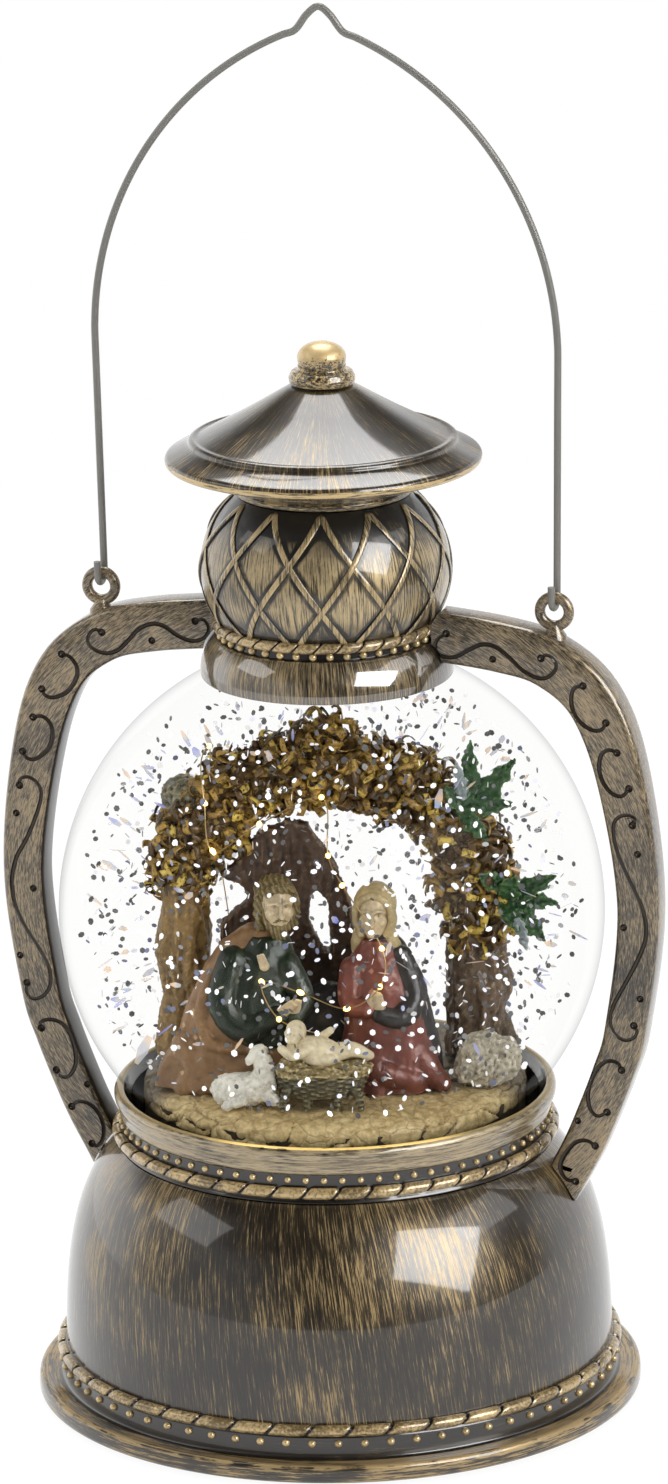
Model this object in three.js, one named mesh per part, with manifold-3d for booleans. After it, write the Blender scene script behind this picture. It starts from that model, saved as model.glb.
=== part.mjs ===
// LED lantern with a water globe, built as its separate pieces.
// Millimetres, +Z up. The origin is on the table, under the middle of the base.
// The side arms lie in the XZ plane, and the front faces -Y.
import * as THREE from 'three';
import { mergeVertices } from 'three/addons/utils/BufferGeometryUtils.js';
import Module from 'manifold-3d';

const wasm = await Module();
wasm.setup();

// Clearances and walls
const FIT = 0.3; // gap between pieces that meet
const WALL = 2.2; // wall of the plastic mouldings

// Base
const FOOT_R = 4;
const FOOT_PROUD = 0.8; // rubber foot below the flange
const FOOT_SUNK = 0.4; // rubber foot inside its pocket
const FOOT_IN = 7.5; // bowl's side to a foot's middle
const FOOT_CLEAR = 1.9; // battery door to a foot
const FLANGE_OUT = 5.3; // flange proud of the bowl's side
const FLANGE_T = 3.4;
const BASE_BEAD_BAND = 3; // height of the wall that carries the bead row
const BASE_ROPE_R = 1.05;
const BOWL_R = 51;
const BOWL_H = 39.3;
const BOWL_SIDE_PULL = 16.7; // how far the bowl's side runs straight up
const BOWL_SHOULDER_PULL = 9.2; // how far its shoulder runs inwards
const PLATE_IN = 2; // bowl's side to the plate's edge
const PLATE_T = 2;

// Globe and its neck
const GLOBE_R = 50.3;
const GLASS_T = 2;
const NECK_R = 37.6;
const NECK_H = 8.9;
const GASKET_T = 1;
const GASKET_W = 6;
const MEMBRANE_T = 1.8; // floor of the impeller well
const WELL_R = 13.3;
const STOPPER_BOSS_R = 14.5;
const STOPPER_H = 9.3;

// Lower collar
const COLLAR_WALL = 2;
const COLLAR_ROPE_R = 1.1;
const COLLAR_BEAD_BAND = 2.2;
const COLLAR_LIP_H = 5; // smooth band and rolled lip
const COLLAR_LIP_OUT = 1; // lip proud of the wall

// Upper collar, chimney, cap and finial
const UPPER_LIP_R = 23.1;
const UPPER_BAND_R = 19.8;
const UPPER_BEAD_BAND = 2.4;
const UPPER_ROPE_R = 1;
const CHIMNEY_R = 22.8;
const CHIMNEY_BOW = 17.1; // radius of its bulging side
const CHIMNEY_BELLY_H = 10.7; // bottom edge to widest ring
const CHIMNEY_H = 23.6;
const LATTICE_BANDS = 12; // in each direction
const LATTICE_TURN = 45; // degrees that a band turns on its way up
const LATTICE_PHASE = 15;
const RIB_W = 1.5;
const RIB_PROUD = 0.6; // bands on top at the crossings
const UNDER_RIB_PROUD = 0.45; // bands that pass under them
const CAP_SPIGOT_H = 2.6;
const CAP_NECK_H = 1.9;
const BRIM_R = 28.84;
const BRIM_UNDER_H = 5.2; // neck ring to the middle of the brim's edge
const BRIM_EDGE_R = 1.1;
const BRIM_W = 4.4; // edge to ridge
const BRIM_RISE = 3;
const RIDGE_R = 0.5;
const CONE_H = 9.4;
const CONE_TOP_R = 6;
const FINIAL_DISC_R = 5.95;
const FINIAL_DISC_H = 2;
const FINIAL_BALL_R = 4.64;
const FINIAL_BALL_RISE = 1.7; // disc to the ball's widest ring
const FINIAL_BALL_H = 4; // widest ring to top
const STEM_R = 1.2;
const STEM_H = 3;
const TIE_SCREW_R = 1.2;
const TIE_HEAD_R = 2.9;
const TIE_HEAD_H = 1.3;

// Arms, their eyes and the bail
const ARM_GAP = 4.5; // globe to arm at the waist
const ARM_BAR_W = 9.4;
const ARM_WAIST_W = 8;
const ARM_FOOT_W = 8.6;
const ARM_DEPTH = 7;
const ARM_EDGE = 1.3; // rounding of the long edges
const ARM_WAIST_RISE = 4.5; // waist above the globe's middle
const BAR_ABOVE_LIP = 9; // bar's middle above the upper lip
const EYE_X = 43;
const EYE_RING_R = 2.7;
const EYE_WIRE_R = 1;
const EYE_NECK_H = 2.4;
const WIRE_R = 0.675;
const HOOK_R = 2; // middle of the wire to the hinge axis
const HOOK_END_H = 2.3;
const BAIL_LEG_H = 44.2;
const BAIL_SPLAY = 0.6;
const BAIL_ARC_R = 60.3;
const BAIL_ARC_STRETCH = 1.02; // the arch is a little taller than round
const BAIL_PEAK_W = 8.8;
const BAIL_PEAK_H = 4.4;
const PEG_R = 2.2;
const PEG_L = 5;
const TONGUE_W = 3.6;
const TONGUE_H = 1.8;
const TONGUE_L = 4;

// Battery bay, cells and contacts
const CELL_R = 7.1;
const CELL_L = 49.2;
const CELL_NUB_R = 2.75;
const CELL_NUB_L = 1.2;
const CELL_PITCH = 15.2;
const CELL_ROOM = 1.1; // spare height over a cell
const SPRING_L = 4.4;
const SPRING_R = 4.2;
const SPRING_TIP_R = 2.4;
const SPRING_WIRE_R = 0.35;
const SPRING_TURNS = 3;
const CONTACT_T = 0.5;
const CONTACT_W = 11;
const BAY_WALL = 1.4;
const DOOR_LIP = 2.1; // ledge that the door lies against
const HINGE_PIN_R = 0.6;
const HINGE_PIN_L = 1.4;
const NOTCH_R = 5;

// Switch and board
const SWITCH_Y = 36;
const SLIDER_TRAVEL = 4;
const KNOB = 2.4;
const SLIDER_W = 4;
const SWITCH_WALL = 1.2;
const SWITCH_H = 4.2;
const BOARD_W = 26;
const BOARD_D = 13;
const BOARD_T = 1.6;
const PILLAR_R = 1.8;

// Drive
const MOTOR_R = 12.2;
const MOTOR_H = 12.3;
const MOTOR_BOSS_R = 3.6;
const MOTOR_BOSS_H = 1.6;
const SHAFT_R = 1;
const SHAFT_IN_MOTOR = 5;
const BRACKET_R = 27;
const BRACKET_T = 2;
const POST_R = 3;
const POST_CIRCLE_R = 23;
const ROTOR_R = 11.5;
const ROTOR_H = 4;
const ROTOR_HUB_R = 3.4;
const ROTOR_HUB_H = 3.4;
const IMPELLER_DISC_H = 2.4;
const IMPELLER_H = 6.4;
const BLADE_T = 1;
const BLADE_COUNT = 4;
const PIN_R = 0.8;

// Screws
const CASE_SCREW_IN = 5.8; // bowl's side to a screw's middle
const CASE_SCREW_ANGLES = [15, 165, 195, 345];
const SCREW_R = 1.2;
const SCREW_HEAD_R = 2.7;
const SCREW_HEAD_H = 1;
const CASE_SCREW_L = 9;
const BOSS_R = 3.6;
const BOSS_H = 12;
const ARM_SCREW_L = 7;

// Scene on the ground
const SCENE_TURN = 16.5; // degrees that the scene faces round to the right
const GROUND_T = 2.2;
const PORT_R = 6.5; // water port behind the figures
const PORT_Y = 7;
const LED_R = 0.9;
const STRING_R = 0.3;
const LEAD_R = 0.6;
const LEAD_HOLE_X = -25;
const LEAD_HOLE_Y = 15.5;
const LEAD_HOLE_R = 1;

// Faces round the turned pieces
const ROUND = 32;
const UPPER_ROUND = 24;
const MIDDLE_ROUND = 16;
const SMALL_ROUND = 12;
const TINY_ROUND = 8;
const SCREW_ROUND = 6;

// Heights that follow
const plateTop = FOOT_PROUD + PLATE_T;
const ledgeZ = plateTop + FIT;
const flangeTop = FOOT_PROUD + FLANGE_T;
const bandTop = flangeTop + BASE_BEAD_BAND;
const bowlBottom = bandTop + 2 * BASE_ROPE_R;
const deckTop = bowlBottom + BOWL_H;
const deckBottom = deckTop - WALL;
const neckBottom = deckTop + GASKET_T + 2 * FIT;
const neckTop = neckBottom + NECK_H;
const neckInnerR = NECK_R - GLASS_T;
const globeZ = neckTop + Math.sqrt(GLOBE_R ** 2 - NECK_R ** 2);
const bowlTopR = NECK_R + COLLAR_WALL + 2 * FIT;
const caseScrewR = BOWL_R - CASE_SCREW_IN;
const footCircleR = BOWL_R - FOOT_IN;
const flangeR = BOWL_R + FLANGE_OUT;
const plateR = BOWL_R - PLATE_IN;
const collarBottom = deckTop + FIT;
const stopperR = neckInnerR - FIT;
const stopperTop = neckBottom + STOPPER_H;
const membraneBottom = neckBottom - 1;
const wellFloor = membraneBottom + MEMBRANE_T;
const groundBottom = stopperTop + FIT;
const groundTop = groundBottom + GROUND_T;
const standZ = groundTop + FIT; // what stands on the ground starts here
const lipBottom = globeZ + Math.sqrt(GLOBE_R ** 2 - UPPER_LIP_R ** 2) + FIT;
const upperPlateBottom = globeZ + GLOBE_R + TIE_HEAD_H + 2 * FIT; // room for the tie screw's head
const upperTop = upperPlateBottom + WALL;
const upperRopeBottom = upperTop - 2 * UPPER_ROPE_R - 0.2;
const upperBandBottom = upperRopeBottom - UPPER_BEAD_BAND;
const chimneyBottom = upperTop + FIT;
const chimneyTop = chimneyBottom + CHIMNEY_H;
const chimneyBellyZ = chimneyBottom + CHIMNEY_BELLY_H;
const chimneyAxisR = CHIMNEY_R - CHIMNEY_BOW;
const capBottom = chimneyTop + FIT;
const brimZ = capBottom + CAP_NECK_H + BRIM_UNDER_H;
const coneBottom = brimZ + BRIM_RISE + 2 * RIDGE_R;
const capTop = coneBottom + CONE_H;
const barZ = lipBottom + BAR_ABOVE_LIP;
const armWaistX = GLOBE_R + ARM_GAP + ARM_WAIST_W / 2;
const bayTop = ledgeZ + 2 * CELL_R + CELL_ROOM;
const bayHalfX = (CELL_L + CELL_NUB_L + SPRING_L + 2 * CONTACT_T + 5 * FIT) / 2;
const bayHalfY = CELL_PITCH * 1.5 + FIT;
const cellZ = (ledgeZ + bayTop) / 2;
const doorHalfX = bayHalfX + DOOR_LIP - FIT;
const doorHalfY = bayHalfY + DOOR_LIP - FIT;
const footY = doorHalfY + FOOT_CLEAR + FOOT_R;
const footX = Math.sqrt(footCircleR ** 2 - footY ** 2);
const footPlaces = [[footX, footY], [-footX, footY], [-footX, -footY], [footX, -footY]];
const rotorTop = membraneBottom - 2 * FIT;
const shaftTop = rotorTop - 2 * FIT;
const bracketBottom = rotorTop - ROTOR_H - ROTOR_HUB_H - BRACKET_T - 2 * FIT - 1;
const motorTop = bracketBottom - FIT;

// Materials
function finish(color, metalness, roughness, opacity = 1) {
  const transparent = opacity < 1;
  return new THREE.MeshStandardMaterial({ color, metalness, roughness, opacity, transparent });
}
const antiqueBrass = finish(0x6f5937, 0.7, 0.35);
const brightBrass = finish(0xa5874f, 0.75, 0.35);
const clearGlass = finish(0xf4f8f8, 0, 0.03, 0.2);
const steelWire = finish(0x6c6b66, 0.9, 0.4);
const plainSteel = finish(0xa9a9a6, 0.9, 0.35);
const springSteel = finish(0xc2c0b8, 0.9, 0.3);
const blackPlastic = finish(0x1d1c1b, 0, 0.5);
const greyRubber = finish(0x3b3a38, 0, 0.8);
const whiteRubber = finish(0xd9d6cf, 0, 0.7);
const cellSleeve = finish(0x2b2f33, 0.2, 0.4);
const boardGreen = finish(0x1f5a35, 0, 0.5);
const magnetGrey = finish(0x77797c, 0.6, 0.4);
const clearPlastic = finish(0xdfe6e6, 0, 0.2, 0.6);
const stone = finish(0xb79a5c, 0, 0.85);
const paleRock = finish(0xb9b295, 0, 0.85);
const bark = finish(0x5a4630, 0, 0.9);
const moss = finish(0x9a7727, 0, 0.9);
const leafGreen = finish(0x27502a, 0, 0.6);
const brownCloth = finish(0x87532f, 0, 0.6);
const redCloth = finish(0x8c3f31, 0, 0.6);
const swaddling = finish(0xd8c9a0, 0, 0.6);
const straw = finish(0xa08a4c, 0, 0.9);
const fleece = finish(0xd6d2bd, 0, 0.8);
const copperWire = finish(0xb99b5a, 0.6, 0.4);

// Solids for joining and cutting
function solid(geometry) {
  const bare = new THREE.BufferGeometry();
  bare.setAttribute('position', geometry.getAttribute('position').clone());
  if (geometry.index) bare.setIndex(geometry.index.clone());
  const merged = mergeVertices(bare, 1e-4);
  const corners = merged.index.array;
  const kept = [];
  for (let i = 0; i < corners.length; i += 3) {
    const [a, b, c] = [corners[i], corners[i + 1], corners[i + 2]];
    if (a !== b && b !== c && c !== a) kept.push(a, b, c);
  }
  return new wasm.Manifold(new wasm.Mesh({
    numProp: 3,
    vertProperties: new Float32Array(merged.getAttribute('position').array),
    triVerts: new Uint32Array(kept),
  }));
}

function join(...geometries) {
  return surface(geometries.map(solid).reduce((all, next) => all.add(next)));
}

function cut(geometry, ...tools) {
  return surface(tools.map(solid).reduce((left, tool) => left.subtract(tool), solid(geometry)));
}

function surface(body) {
  const mesh = body.getMesh();
  const geometry = new THREE.BufferGeometry();
  geometry.setAttribute('position', new THREE.BufferAttribute(mesh.vertProperties, 3));
  geometry.setIndex(new THREE.BufferAttribute(mesh.triVerts, 1));
  return geometry;
}

// Basic forms, all standing on +Z
function point(r, z) {
  return new THREE.Vector2(r, z);
}

// Turned about Z. The profile runs up the outside and down the inside.
function turn(profile, steps = ROUND) {
  return new THREE.LatheGeometry(profile, steps).rotateX(Math.PI / 2);
}

function closedTurn(profile, steps = ROUND) {
  return turn([...profile, profile[0]], steps);
}

function rod(radius, bottom, top, steps = SMALL_ROUND) {
  return turn([point(0, bottom), point(radius, bottom), point(radius, top), point(0, top)], steps);
}

function block(x0, x1, y0, y1, z0, z1) {
  const box = new THREE.BoxGeometry(x1 - x0, y1 - y0, z1 - z0);
  return box.translate((x0 + x1) / 2, (y0 + y1) / 2, (z0 + z1) / 2);
}

// Points of an arc in a profile, angles in degrees from +R towards +Z
function arc(centreR, centreZ, radius, from, to, steps) {
  const points = [];
  for (let i = 0; i <= steps; i++) {
    const a = THREE.MathUtils.degToRad(from + ((to - from) * i) / steps);
    points.push(point(centreR + radius * Math.cos(a), centreZ + radius * Math.sin(a)));
  }
  return points;
}

// A half-round moulding on a wall
function rope(wallR, bottom, radius) {
  return arc(wallR, bottom + radius, radius, -70, 70, 2);
}

// A curve whose steps follow its points, so that tight bends get short steps
class StepCurve extends THREE.CatmullRomCurve3 {
  getUtoTmapping(u) {
    return u;
  }
}

function wire(points, radius, sides, stepsPerPoint = 2) {
  const section = new THREE.Shape();
  for (let i = 0; i < sides; i++) {
    const a = (2 * Math.PI * i) / sides;
    section[i ? 'lineTo' : 'moveTo'](radius * Math.cos(a), radius * Math.sin(a));
  }
  section.closePath();
  const route = new StepCurve(points, false, 'centripetal');
  const steps = (points.length - 1) * stepsPerPoint;
  return new THREE.ExtrudeGeometry(section, { steps, extrudePath: route, curveSegments: 1 });
}

// A body through ellipses: each ring is [x, y, z, half width, half depth]
function loft(rings, sides = 10) {
  const vertices = [];
  for (const [x, y, z, a, b] of rings) {
    for (let i = 0; i < sides; i++) {
      const angle = (2 * Math.PI * i) / sides;
      vertices.push(x + a * Math.cos(angle), y + b * Math.sin(angle), z);
    }
  }
  const last = (rings.length - 1) * sides;
  const faces = [];
  for (let r = 0; r < rings.length - 1; r++) {
    for (let i = 0; i < sides; i++) {
      const a = r * sides + i;
      const b = r * sides + ((i + 1) % sides);
      faces.push(a, b, b + sides, a, b + sides, a + sides);
    }
  }
  for (let i = 1; i < sides - 1; i++) {
    faces.push(0, i + 1, i, last, last + i, last + i + 1);
  }
  const geometry = new THREE.BufferGeometry();
  geometry.setAttribute('position', new THREE.Float32BufferAttribute(vertices, 3));
  geometry.setIndex(faces);
  return geometry;
}

function egg(x, y, z, a, b, c, around = 10, up = 6) {
  return new THREE.SphereGeometry(1, around, up).rotateX(Math.PI / 2).scale(a, b, c).translate(x, y, z);
}

// Natural roughness: each corner moves along its direction from the middle line
function roughen(geometry, amount, pace, middle) {
  const position = geometry.getAttribute('position');
  const corner = new THREE.Vector3();
  for (let i = 0; i < position.count; i++) {
    corner.fromBufferAttribute(position, i);
    const away = corner.clone().sub(middle(corner));
    if (away.lengthSq() < 1e-6) continue;
    const wave = Math.sin(corner.x * pace + 1.3) + Math.sin(corner.y * pace * 1.3 + corner.z * pace)
      + Math.sin(corner.z * pace * 0.7 - corner.x * pace * 1.1 + 2.1);
    corner.addScaledVector(away.normalize(), (amount * wave) / 3);
    position.setXYZ(i, corner.x, corner.y, corner.z);
  }
  return geometry;
}

const lantern = new THREE.Group();
const floor = new THREE.Group();
floor.rotation.z = THREE.MathUtils.degToRad(SCENE_TURN);
lantern.add(floor);

// The scene is drawn for a globe and a ground of these sizes, and grows with the real ones
const DRAWN = { globeR: 50.3, standZ: 62.3 };
const scene = new THREE.Group();
scene.scale.setScalar(GLOBE_R / DRAWN.globeR);
scene.position.z = standZ - DRAWN.standZ * scene.scale.z;
floor.add(scene);

function piece(name, geometry, material, parent = lantern) {
  const mesh = new THREE.Mesh(geometry, material);
  mesh.name = name;
  parent.add(mesh);
  return mesh;
}

// The bowl's outer side, as a curve from the rope ring up to the deck
const bowlSide = new THREE.CubicBezierCurve(
  point(BOWL_R, bowlBottom),
  point(BOWL_R - 0.2, bowlBottom + BOWL_SIDE_PULL),
  point(bowlTopR + BOWL_SHOULDER_PULL, deckTop - BOWL_SHOULDER_PULL * 0.85),
  point(bowlTopR, deckTop),
);

// Points of the bowl's side moved outwards (or inwards, if negative)
function bowlPoints(offset, from, to, steps) {
  const points = [];
  for (let i = 0; i <= steps; i++) {
    const t = from + ((to - from) * i) / steps;
    const along = bowlSide.getTangent(t);
    const at = bowlSide.getPoint(t);
    points.push(point(at.x + along.y * offset, at.y - along.x * offset));
  }
  return points;
}

// Where an arm's foot meets the bowl
const FOOT_T = 0.77;
const footPoint = bowlSide.getPoint(FOOT_T);
const footTangent = bowlSide.getTangent(FOOT_T);
const footTilt = Math.atan2(-footTangent.x, footTangent.y);

// Puts a piece that stands on +Z at the right arm's foot, pointing out of the bowl
function atFoot(geometry) {
  return geometry.rotateY(Math.PI / 2 - footTilt).translate(footPoint.x, 0, footPoint.y);
}

function around(count, make) {
  return Array.from({ length: count }, (_, i) => make((2 * Math.PI * i) / count));
}

function onCircle(radius, degrees) {
  const a = THREE.MathUtils.degToRad(degrees);
  return [radius * Math.cos(a), radius * Math.sin(a)];
}

// Base shell: flange, bead band, rope ring, bowl and deck in one moulding
function baseShell() {
  const edgeR = FLANGE_T / 2;
  const bandR = BOWL_R + 0.7;
  const shell = closedTurn([
    point(plateR + FIT, FOOT_PROUD),
    ...arc(flangeR - edgeR, FOOT_PROUD + edgeR, edgeR, -80, 80, 2),
    point(bandR, flangeTop - 0.3),
    ...rope(bandR - 0.1, bandTop, BASE_ROPE_R),
    ...bowlPoints(0, 0, 1, 5),
    point(STOPPER_BOSS_R + FIT, deckTop),
    point(STOPPER_BOSS_R + FIT, deckBottom),
    point(bowlTopR - WALL, deckBottom),
    ...bowlPoints(-WALL, 0.8, 0, 2),
    point(BOWL_R - WALL, ledgeZ),
    point(plateR + FIT, ledgeZ),
  ]);
  const bosses = CASE_SCREW_ANGLES.map((degrees) => {
    const [x, y] = onCircle(caseScrewR, degrees);
    return rod(BOSS_R, ledgeZ, ledgeZ + BOSS_H, TINY_ROUND).translate(x, y, 0);
  });
  const pilots = CASE_SCREW_ANGLES.map((degrees) => {
    const [x, y] = onCircle(caseScrewR, degrees);
    return rod(SCREW_R + FIT, ledgeZ - 1, ledgeZ + BOSS_H - 2, SCREW_ROUND).translate(x, y, 0);
  });
  const pegHole = () => rod(PEG_R + FIT, -WALL * 2, WALL * 2, TINY_ROUND);
  const leadHole = rod(LEAD_HOLE_R, deckBottom - 1, deckTop + 1, TINY_ROUND);
  return cut(
    join(shell, ...bosses),
    ...pilots,
    atFoot(pegHole()),
    atFoot(pegHole()).rotateZ(Math.PI),
    leadHole.translate(LEAD_HOLE_X, LEAD_HOLE_Y, 0),
  );
}

// Base plate with the battery bay, pockets for the feet and pillars for the board
function basePlate() {
  const disc = rod(plateR, FOOT_PROUD, plateTop, ROUND);
  const bay = block(
    -bayHalfX - DOOR_LIP - BAY_WALL, bayHalfX + DOOR_LIP + BAY_WALL,
    -bayHalfY - DOOR_LIP - BAY_WALL, bayHalfY + DOOR_LIP + BAY_WALL,
    plateTop - 0.5, bayTop + BAY_WALL,
  );
  const pillarX = BOARD_W / 2 - PILLAR_R - 1;
  const boardZ = plateTop + FIT + SWITCH_H + FIT;
  const pillars = [-pillarX, pillarX].map((x) => (
    rod(PILLAR_R, plateTop - 0.5, boardZ - FIT, TINY_ROUND).translate(x, SWITCH_Y, 0)
  ));
  const room = block(-bayHalfX, bayHalfX, -bayHalfY, bayHalfY, 0, bayTop);
  const recess = block(
    -bayHalfX - DOOR_LIP, bayHalfX + DOOR_LIP, -bayHalfY - DOOR_LIP, bayHalfY + DOOR_LIP, 0, ledgeZ,
  );
  const sockets = [-1, 1].map((side) => (
    rod(HINGE_PIN_R + FIT, 0, HINGE_PIN_L + 2 * FIT, TINY_ROUND)
      .rotateX((-side * Math.PI) / 2)
      .translate(hinge.x, side * (bayHalfY + DOOR_LIP - FIT), hinge.z)
  ));
  const notch = rod(NOTCH_R, 0, FOOT_PROUD + PLATE_T * 0.6, 12);
  const pockets = footPlaces.map(([x, y]) => (
    rod(FOOT_R + FIT, 0, FOOT_PROUD + FOOT_SUNK + FIT, 12).translate(x, y, 0)
  ));
  const screwHoles = CASE_SCREW_ANGLES.flatMap((degrees) => {
    const [x, y] = onCircle(caseScrewR, degrees);
    return [
      rod(SCREW_R + FIT, 0, plateTop + 1, SCREW_ROUND).translate(x, y, 0),
      rod(SCREW_HEAD_R + FIT, 0, FOOT_PROUD + SCREW_HEAD_H + FIT, SCREW_ROUND).translate(x, y, 0),
    ];
  });
  const slotHalf = (KNOB + SLIDER_TRAVEL) / 2 + FIT;
  const slot = block(
    -slotHalf, slotHalf, SWITCH_Y - KNOB / 2 - FIT, SWITCH_Y + KNOB / 2 + FIT, 0, plateTop + 1,
  );
  return cut(
    join(disc, bay, ...pillars),
    room, recess, slot, notch.translate(-bayHalfX - DOOR_LIP, 0, 0), ...sockets, ...pockets, ...screwHoles,
  );
}

// Battery door: a flat lid with a round hinge edge and two stub pins
const hinge = { x: doorHalfX - PLATE_T / 2, z: FOOT_PROUD + PLATE_T / 2 };
function batteryDoor() {
  const lid = block(-doorHalfX, hinge.x, -doorHalfY, doorHalfY, FOOT_PROUD, plateTop);
  const edge = rod(PLATE_T / 2, -doorHalfY, doorHalfY, 12);
  const pins = rod(HINGE_PIN_R, -doorHalfY - HINGE_PIN_L, doorHalfY + HINGE_PIN_L, TINY_ROUND);
  const onAxis = (geometry) => geometry.rotateX(Math.PI / 2).translate(hinge.x, 0, hinge.z);
  return join(lid, onAxis(edge), onAxis(pins));
}

function screw(headR, headH, shankR, length) {
  return turn([
    point(0, 0), point(headR, 0), point(headR, headH), point(shankR, headH),
    point(shankR, headH + length), point(0, headH + length),
  ], SCREW_ROUND);
}

// Three AA cells side by side, turned end for end in turn
const cellEnd = bayHalfX - 2 * FIT - CONTACT_T; // tip of a cell's button
function cell(index) {
  const body = turn([
    point(0, 0), point(CELL_R - 0.6, 0), point(CELL_R, 0.6), point(CELL_R, CELL_L - 0.6),
    point(CELL_R - 0.6, CELL_L), point(CELL_NUB_R, CELL_L),
    point(CELL_NUB_R, CELL_L + CELL_NUB_L), point(0, CELL_L + CELL_NUB_L),
  ], SMALL_ROUND);
  body.translate(0, 0, cellEnd - CELL_L - CELL_NUB_L).rotateY(Math.PI / 2);
  if (index === 1) body.rotateZ(Math.PI);
  return body.translate(0, (index - 1) * CELL_PITCH, cellZ);
}

// Conical contact spring on its plate, for a cell whose flat end faces -X
function springContact() {
  const points = [];
  const steps = SPRING_TURNS * 6;
  for (let i = 0; i <= steps; i++) {
    const a = (2 * Math.PI * SPRING_TURNS * i) / steps;
    const r = SPRING_R + ((SPRING_TIP_R - SPRING_R) * i) / steps;
    const rise = (SPRING_L - SPRING_WIRE_R - FIT) * (i / steps);
    points.push(new THREE.Vector3(rise, r * Math.cos(a), r * Math.sin(a)));
  }
  return wire(points, SPRING_WIRE_R, 3, 1).translate(contactFace, 0, 0);
}
const contactFace = -bayHalfX + FIT + CONTACT_T;

function contactPlate(y0, y1) {
  return block(
    -bayHalfX + FIT, contactFace, y0 - CONTACT_W / 2, y1 + CONTACT_W / 2,
    -CONTACT_W / 2, CONTACT_W / 2,
  );
}

function contacts() {
  const left = -CELL_PITCH;
  const right = CELL_PITCH;
  const spring = (y) => springContact().translate(0, y, 0);
  const raise = (geometry) => geometry.translate(0, 0, cellZ);
  piece('spring_terminal', raise(join(contactPlate(left, left), spring(left))), springSteel);
  piece('link_strap_left', raise(join(contactPlate(0, right), spring(right))), springSteel);
  const farEnd = join(contactPlate(0, right), spring(0)).rotateZ(Math.PI);
  piece('link_strap_right', raise(farEnd), springSteel);
  piece('button_terminal', raise(contactPlate(left, left).rotateZ(Math.PI)), springSteel);
}

// Slide switch, its slider and the board over it
function switchParts() {
  const insideX = (SLIDER_W + SLIDER_TRAVEL) / 2 + FIT;
  const insideY = KNOB / 2 + 2 * FIT;
  const bottom = plateTop + FIT;
  const outer = block(
    -insideX - SWITCH_WALL, insideX + SWITCH_WALL, -insideY - SWITCH_WALL, insideY + SWITCH_WALL,
    bottom, bottom + SWITCH_H,
  );
  const inner = block(-insideX, insideX, -insideY, insideY, 0, bottom + SWITCH_H - SWITCH_WALL);
  const place = (geometry, x = 0) => geometry.translate(x, SWITCH_Y, 0);
  piece('switch_body', place(cut(outer, inner)), plainSteel);
  const carriage = block(
    -SLIDER_W / 2, SLIDER_W / 2, -KNOB / 2, KNOB / 2, bottom, bottom + SWITCH_H - SWITCH_WALL - FIT,
  );
  const knob = block(-KNOB / 2, KNOB / 2, -KNOB / 2, KNOB / 2, FOOT_PROUD + FIT, bottom + 1);
  piece('switch_slider', place(join(carriage, knob), -SLIDER_TRAVEL / 2), blackPlastic);
  const boardZ = bottom + SWITCH_H + FIT;
  const board = block(-BOARD_W / 2, BOARD_W / 2, -BOARD_D / 2, BOARD_D / 2, boardZ, boardZ + BOARD_T);
  const chip = block(-4, 1, -2, 2, boardZ + 1, boardZ + BOARD_T + 1.5);
  const capacitor = rod(2, boardZ + 1, boardZ + BOARD_T + 5, TINY_ROUND).translate(8, 1, 0);
  piece('circuit_board', place(join(board, chip, capacitor)), boardGreen);
}

// Motor under its bracket, with the magnet rotor on its shaft
function drive() {
  const shaftBottom = motorTop - SHAFT_IN_MOTOR;
  const boreR = SHAFT_R + FIT;
  piece('motor', turn([
    point(0, motorTop - MOTOR_H), point(MOTOR_R - 1, motorTop - MOTOR_H),
    point(MOTOR_R, motorTop - MOTOR_H + 1), point(MOTOR_R, motorTop),
    point(MOTOR_BOSS_R, motorTop), point(MOTOR_BOSS_R, motorTop + MOTOR_BOSS_H),
    point(boreR, motorTop + MOTOR_BOSS_H), point(boreR, shaftBottom - FIT), point(0, shaftBottom - FIT),
  ], MIDDLE_ROUND), plainSteel);
  const bracketTop = bracketBottom + BRACKET_T;
  const posts = around(3, (a) => (
    rod(POST_R, bracketTop - 0.5, deckBottom - FIT, 10)
      .translate(POST_CIRCLE_R * Math.cos(a), POST_CIRCLE_R * Math.sin(a), 0)
  ));
  const plate = closedTurn([
    point(MOTOR_BOSS_R + FIT, bracketBottom), point(BRACKET_R, bracketBottom),
    point(BRACKET_R, bracketTop), point(MOTOR_BOSS_R + FIT, bracketTop),
  ], MIDDLE_ROUND);
  piece('motor_bracket', join(plate, ...posts), blackPlastic);
  piece('motor_shaft', rod(SHAFT_R, shaftBottom, shaftTop, TINY_ROUND), plainSteel);
  const rotorBottom = rotorTop - ROTOR_H;
  piece('drive_rotor', turn([
    point(0, shaftTop + FIT), point(boreR, shaftTop + FIT),
    point(boreR, rotorBottom - ROTOR_HUB_H), point(ROTOR_HUB_R, rotorBottom - ROTOR_HUB_H),
    point(ROTOR_HUB_R, rotorBottom), point(ROTOR_R, rotorBottom), point(ROTOR_R, rotorTop),
    point(0, rotorTop),
  ], MIDDLE_ROUND), magnetGrey);
}

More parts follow.
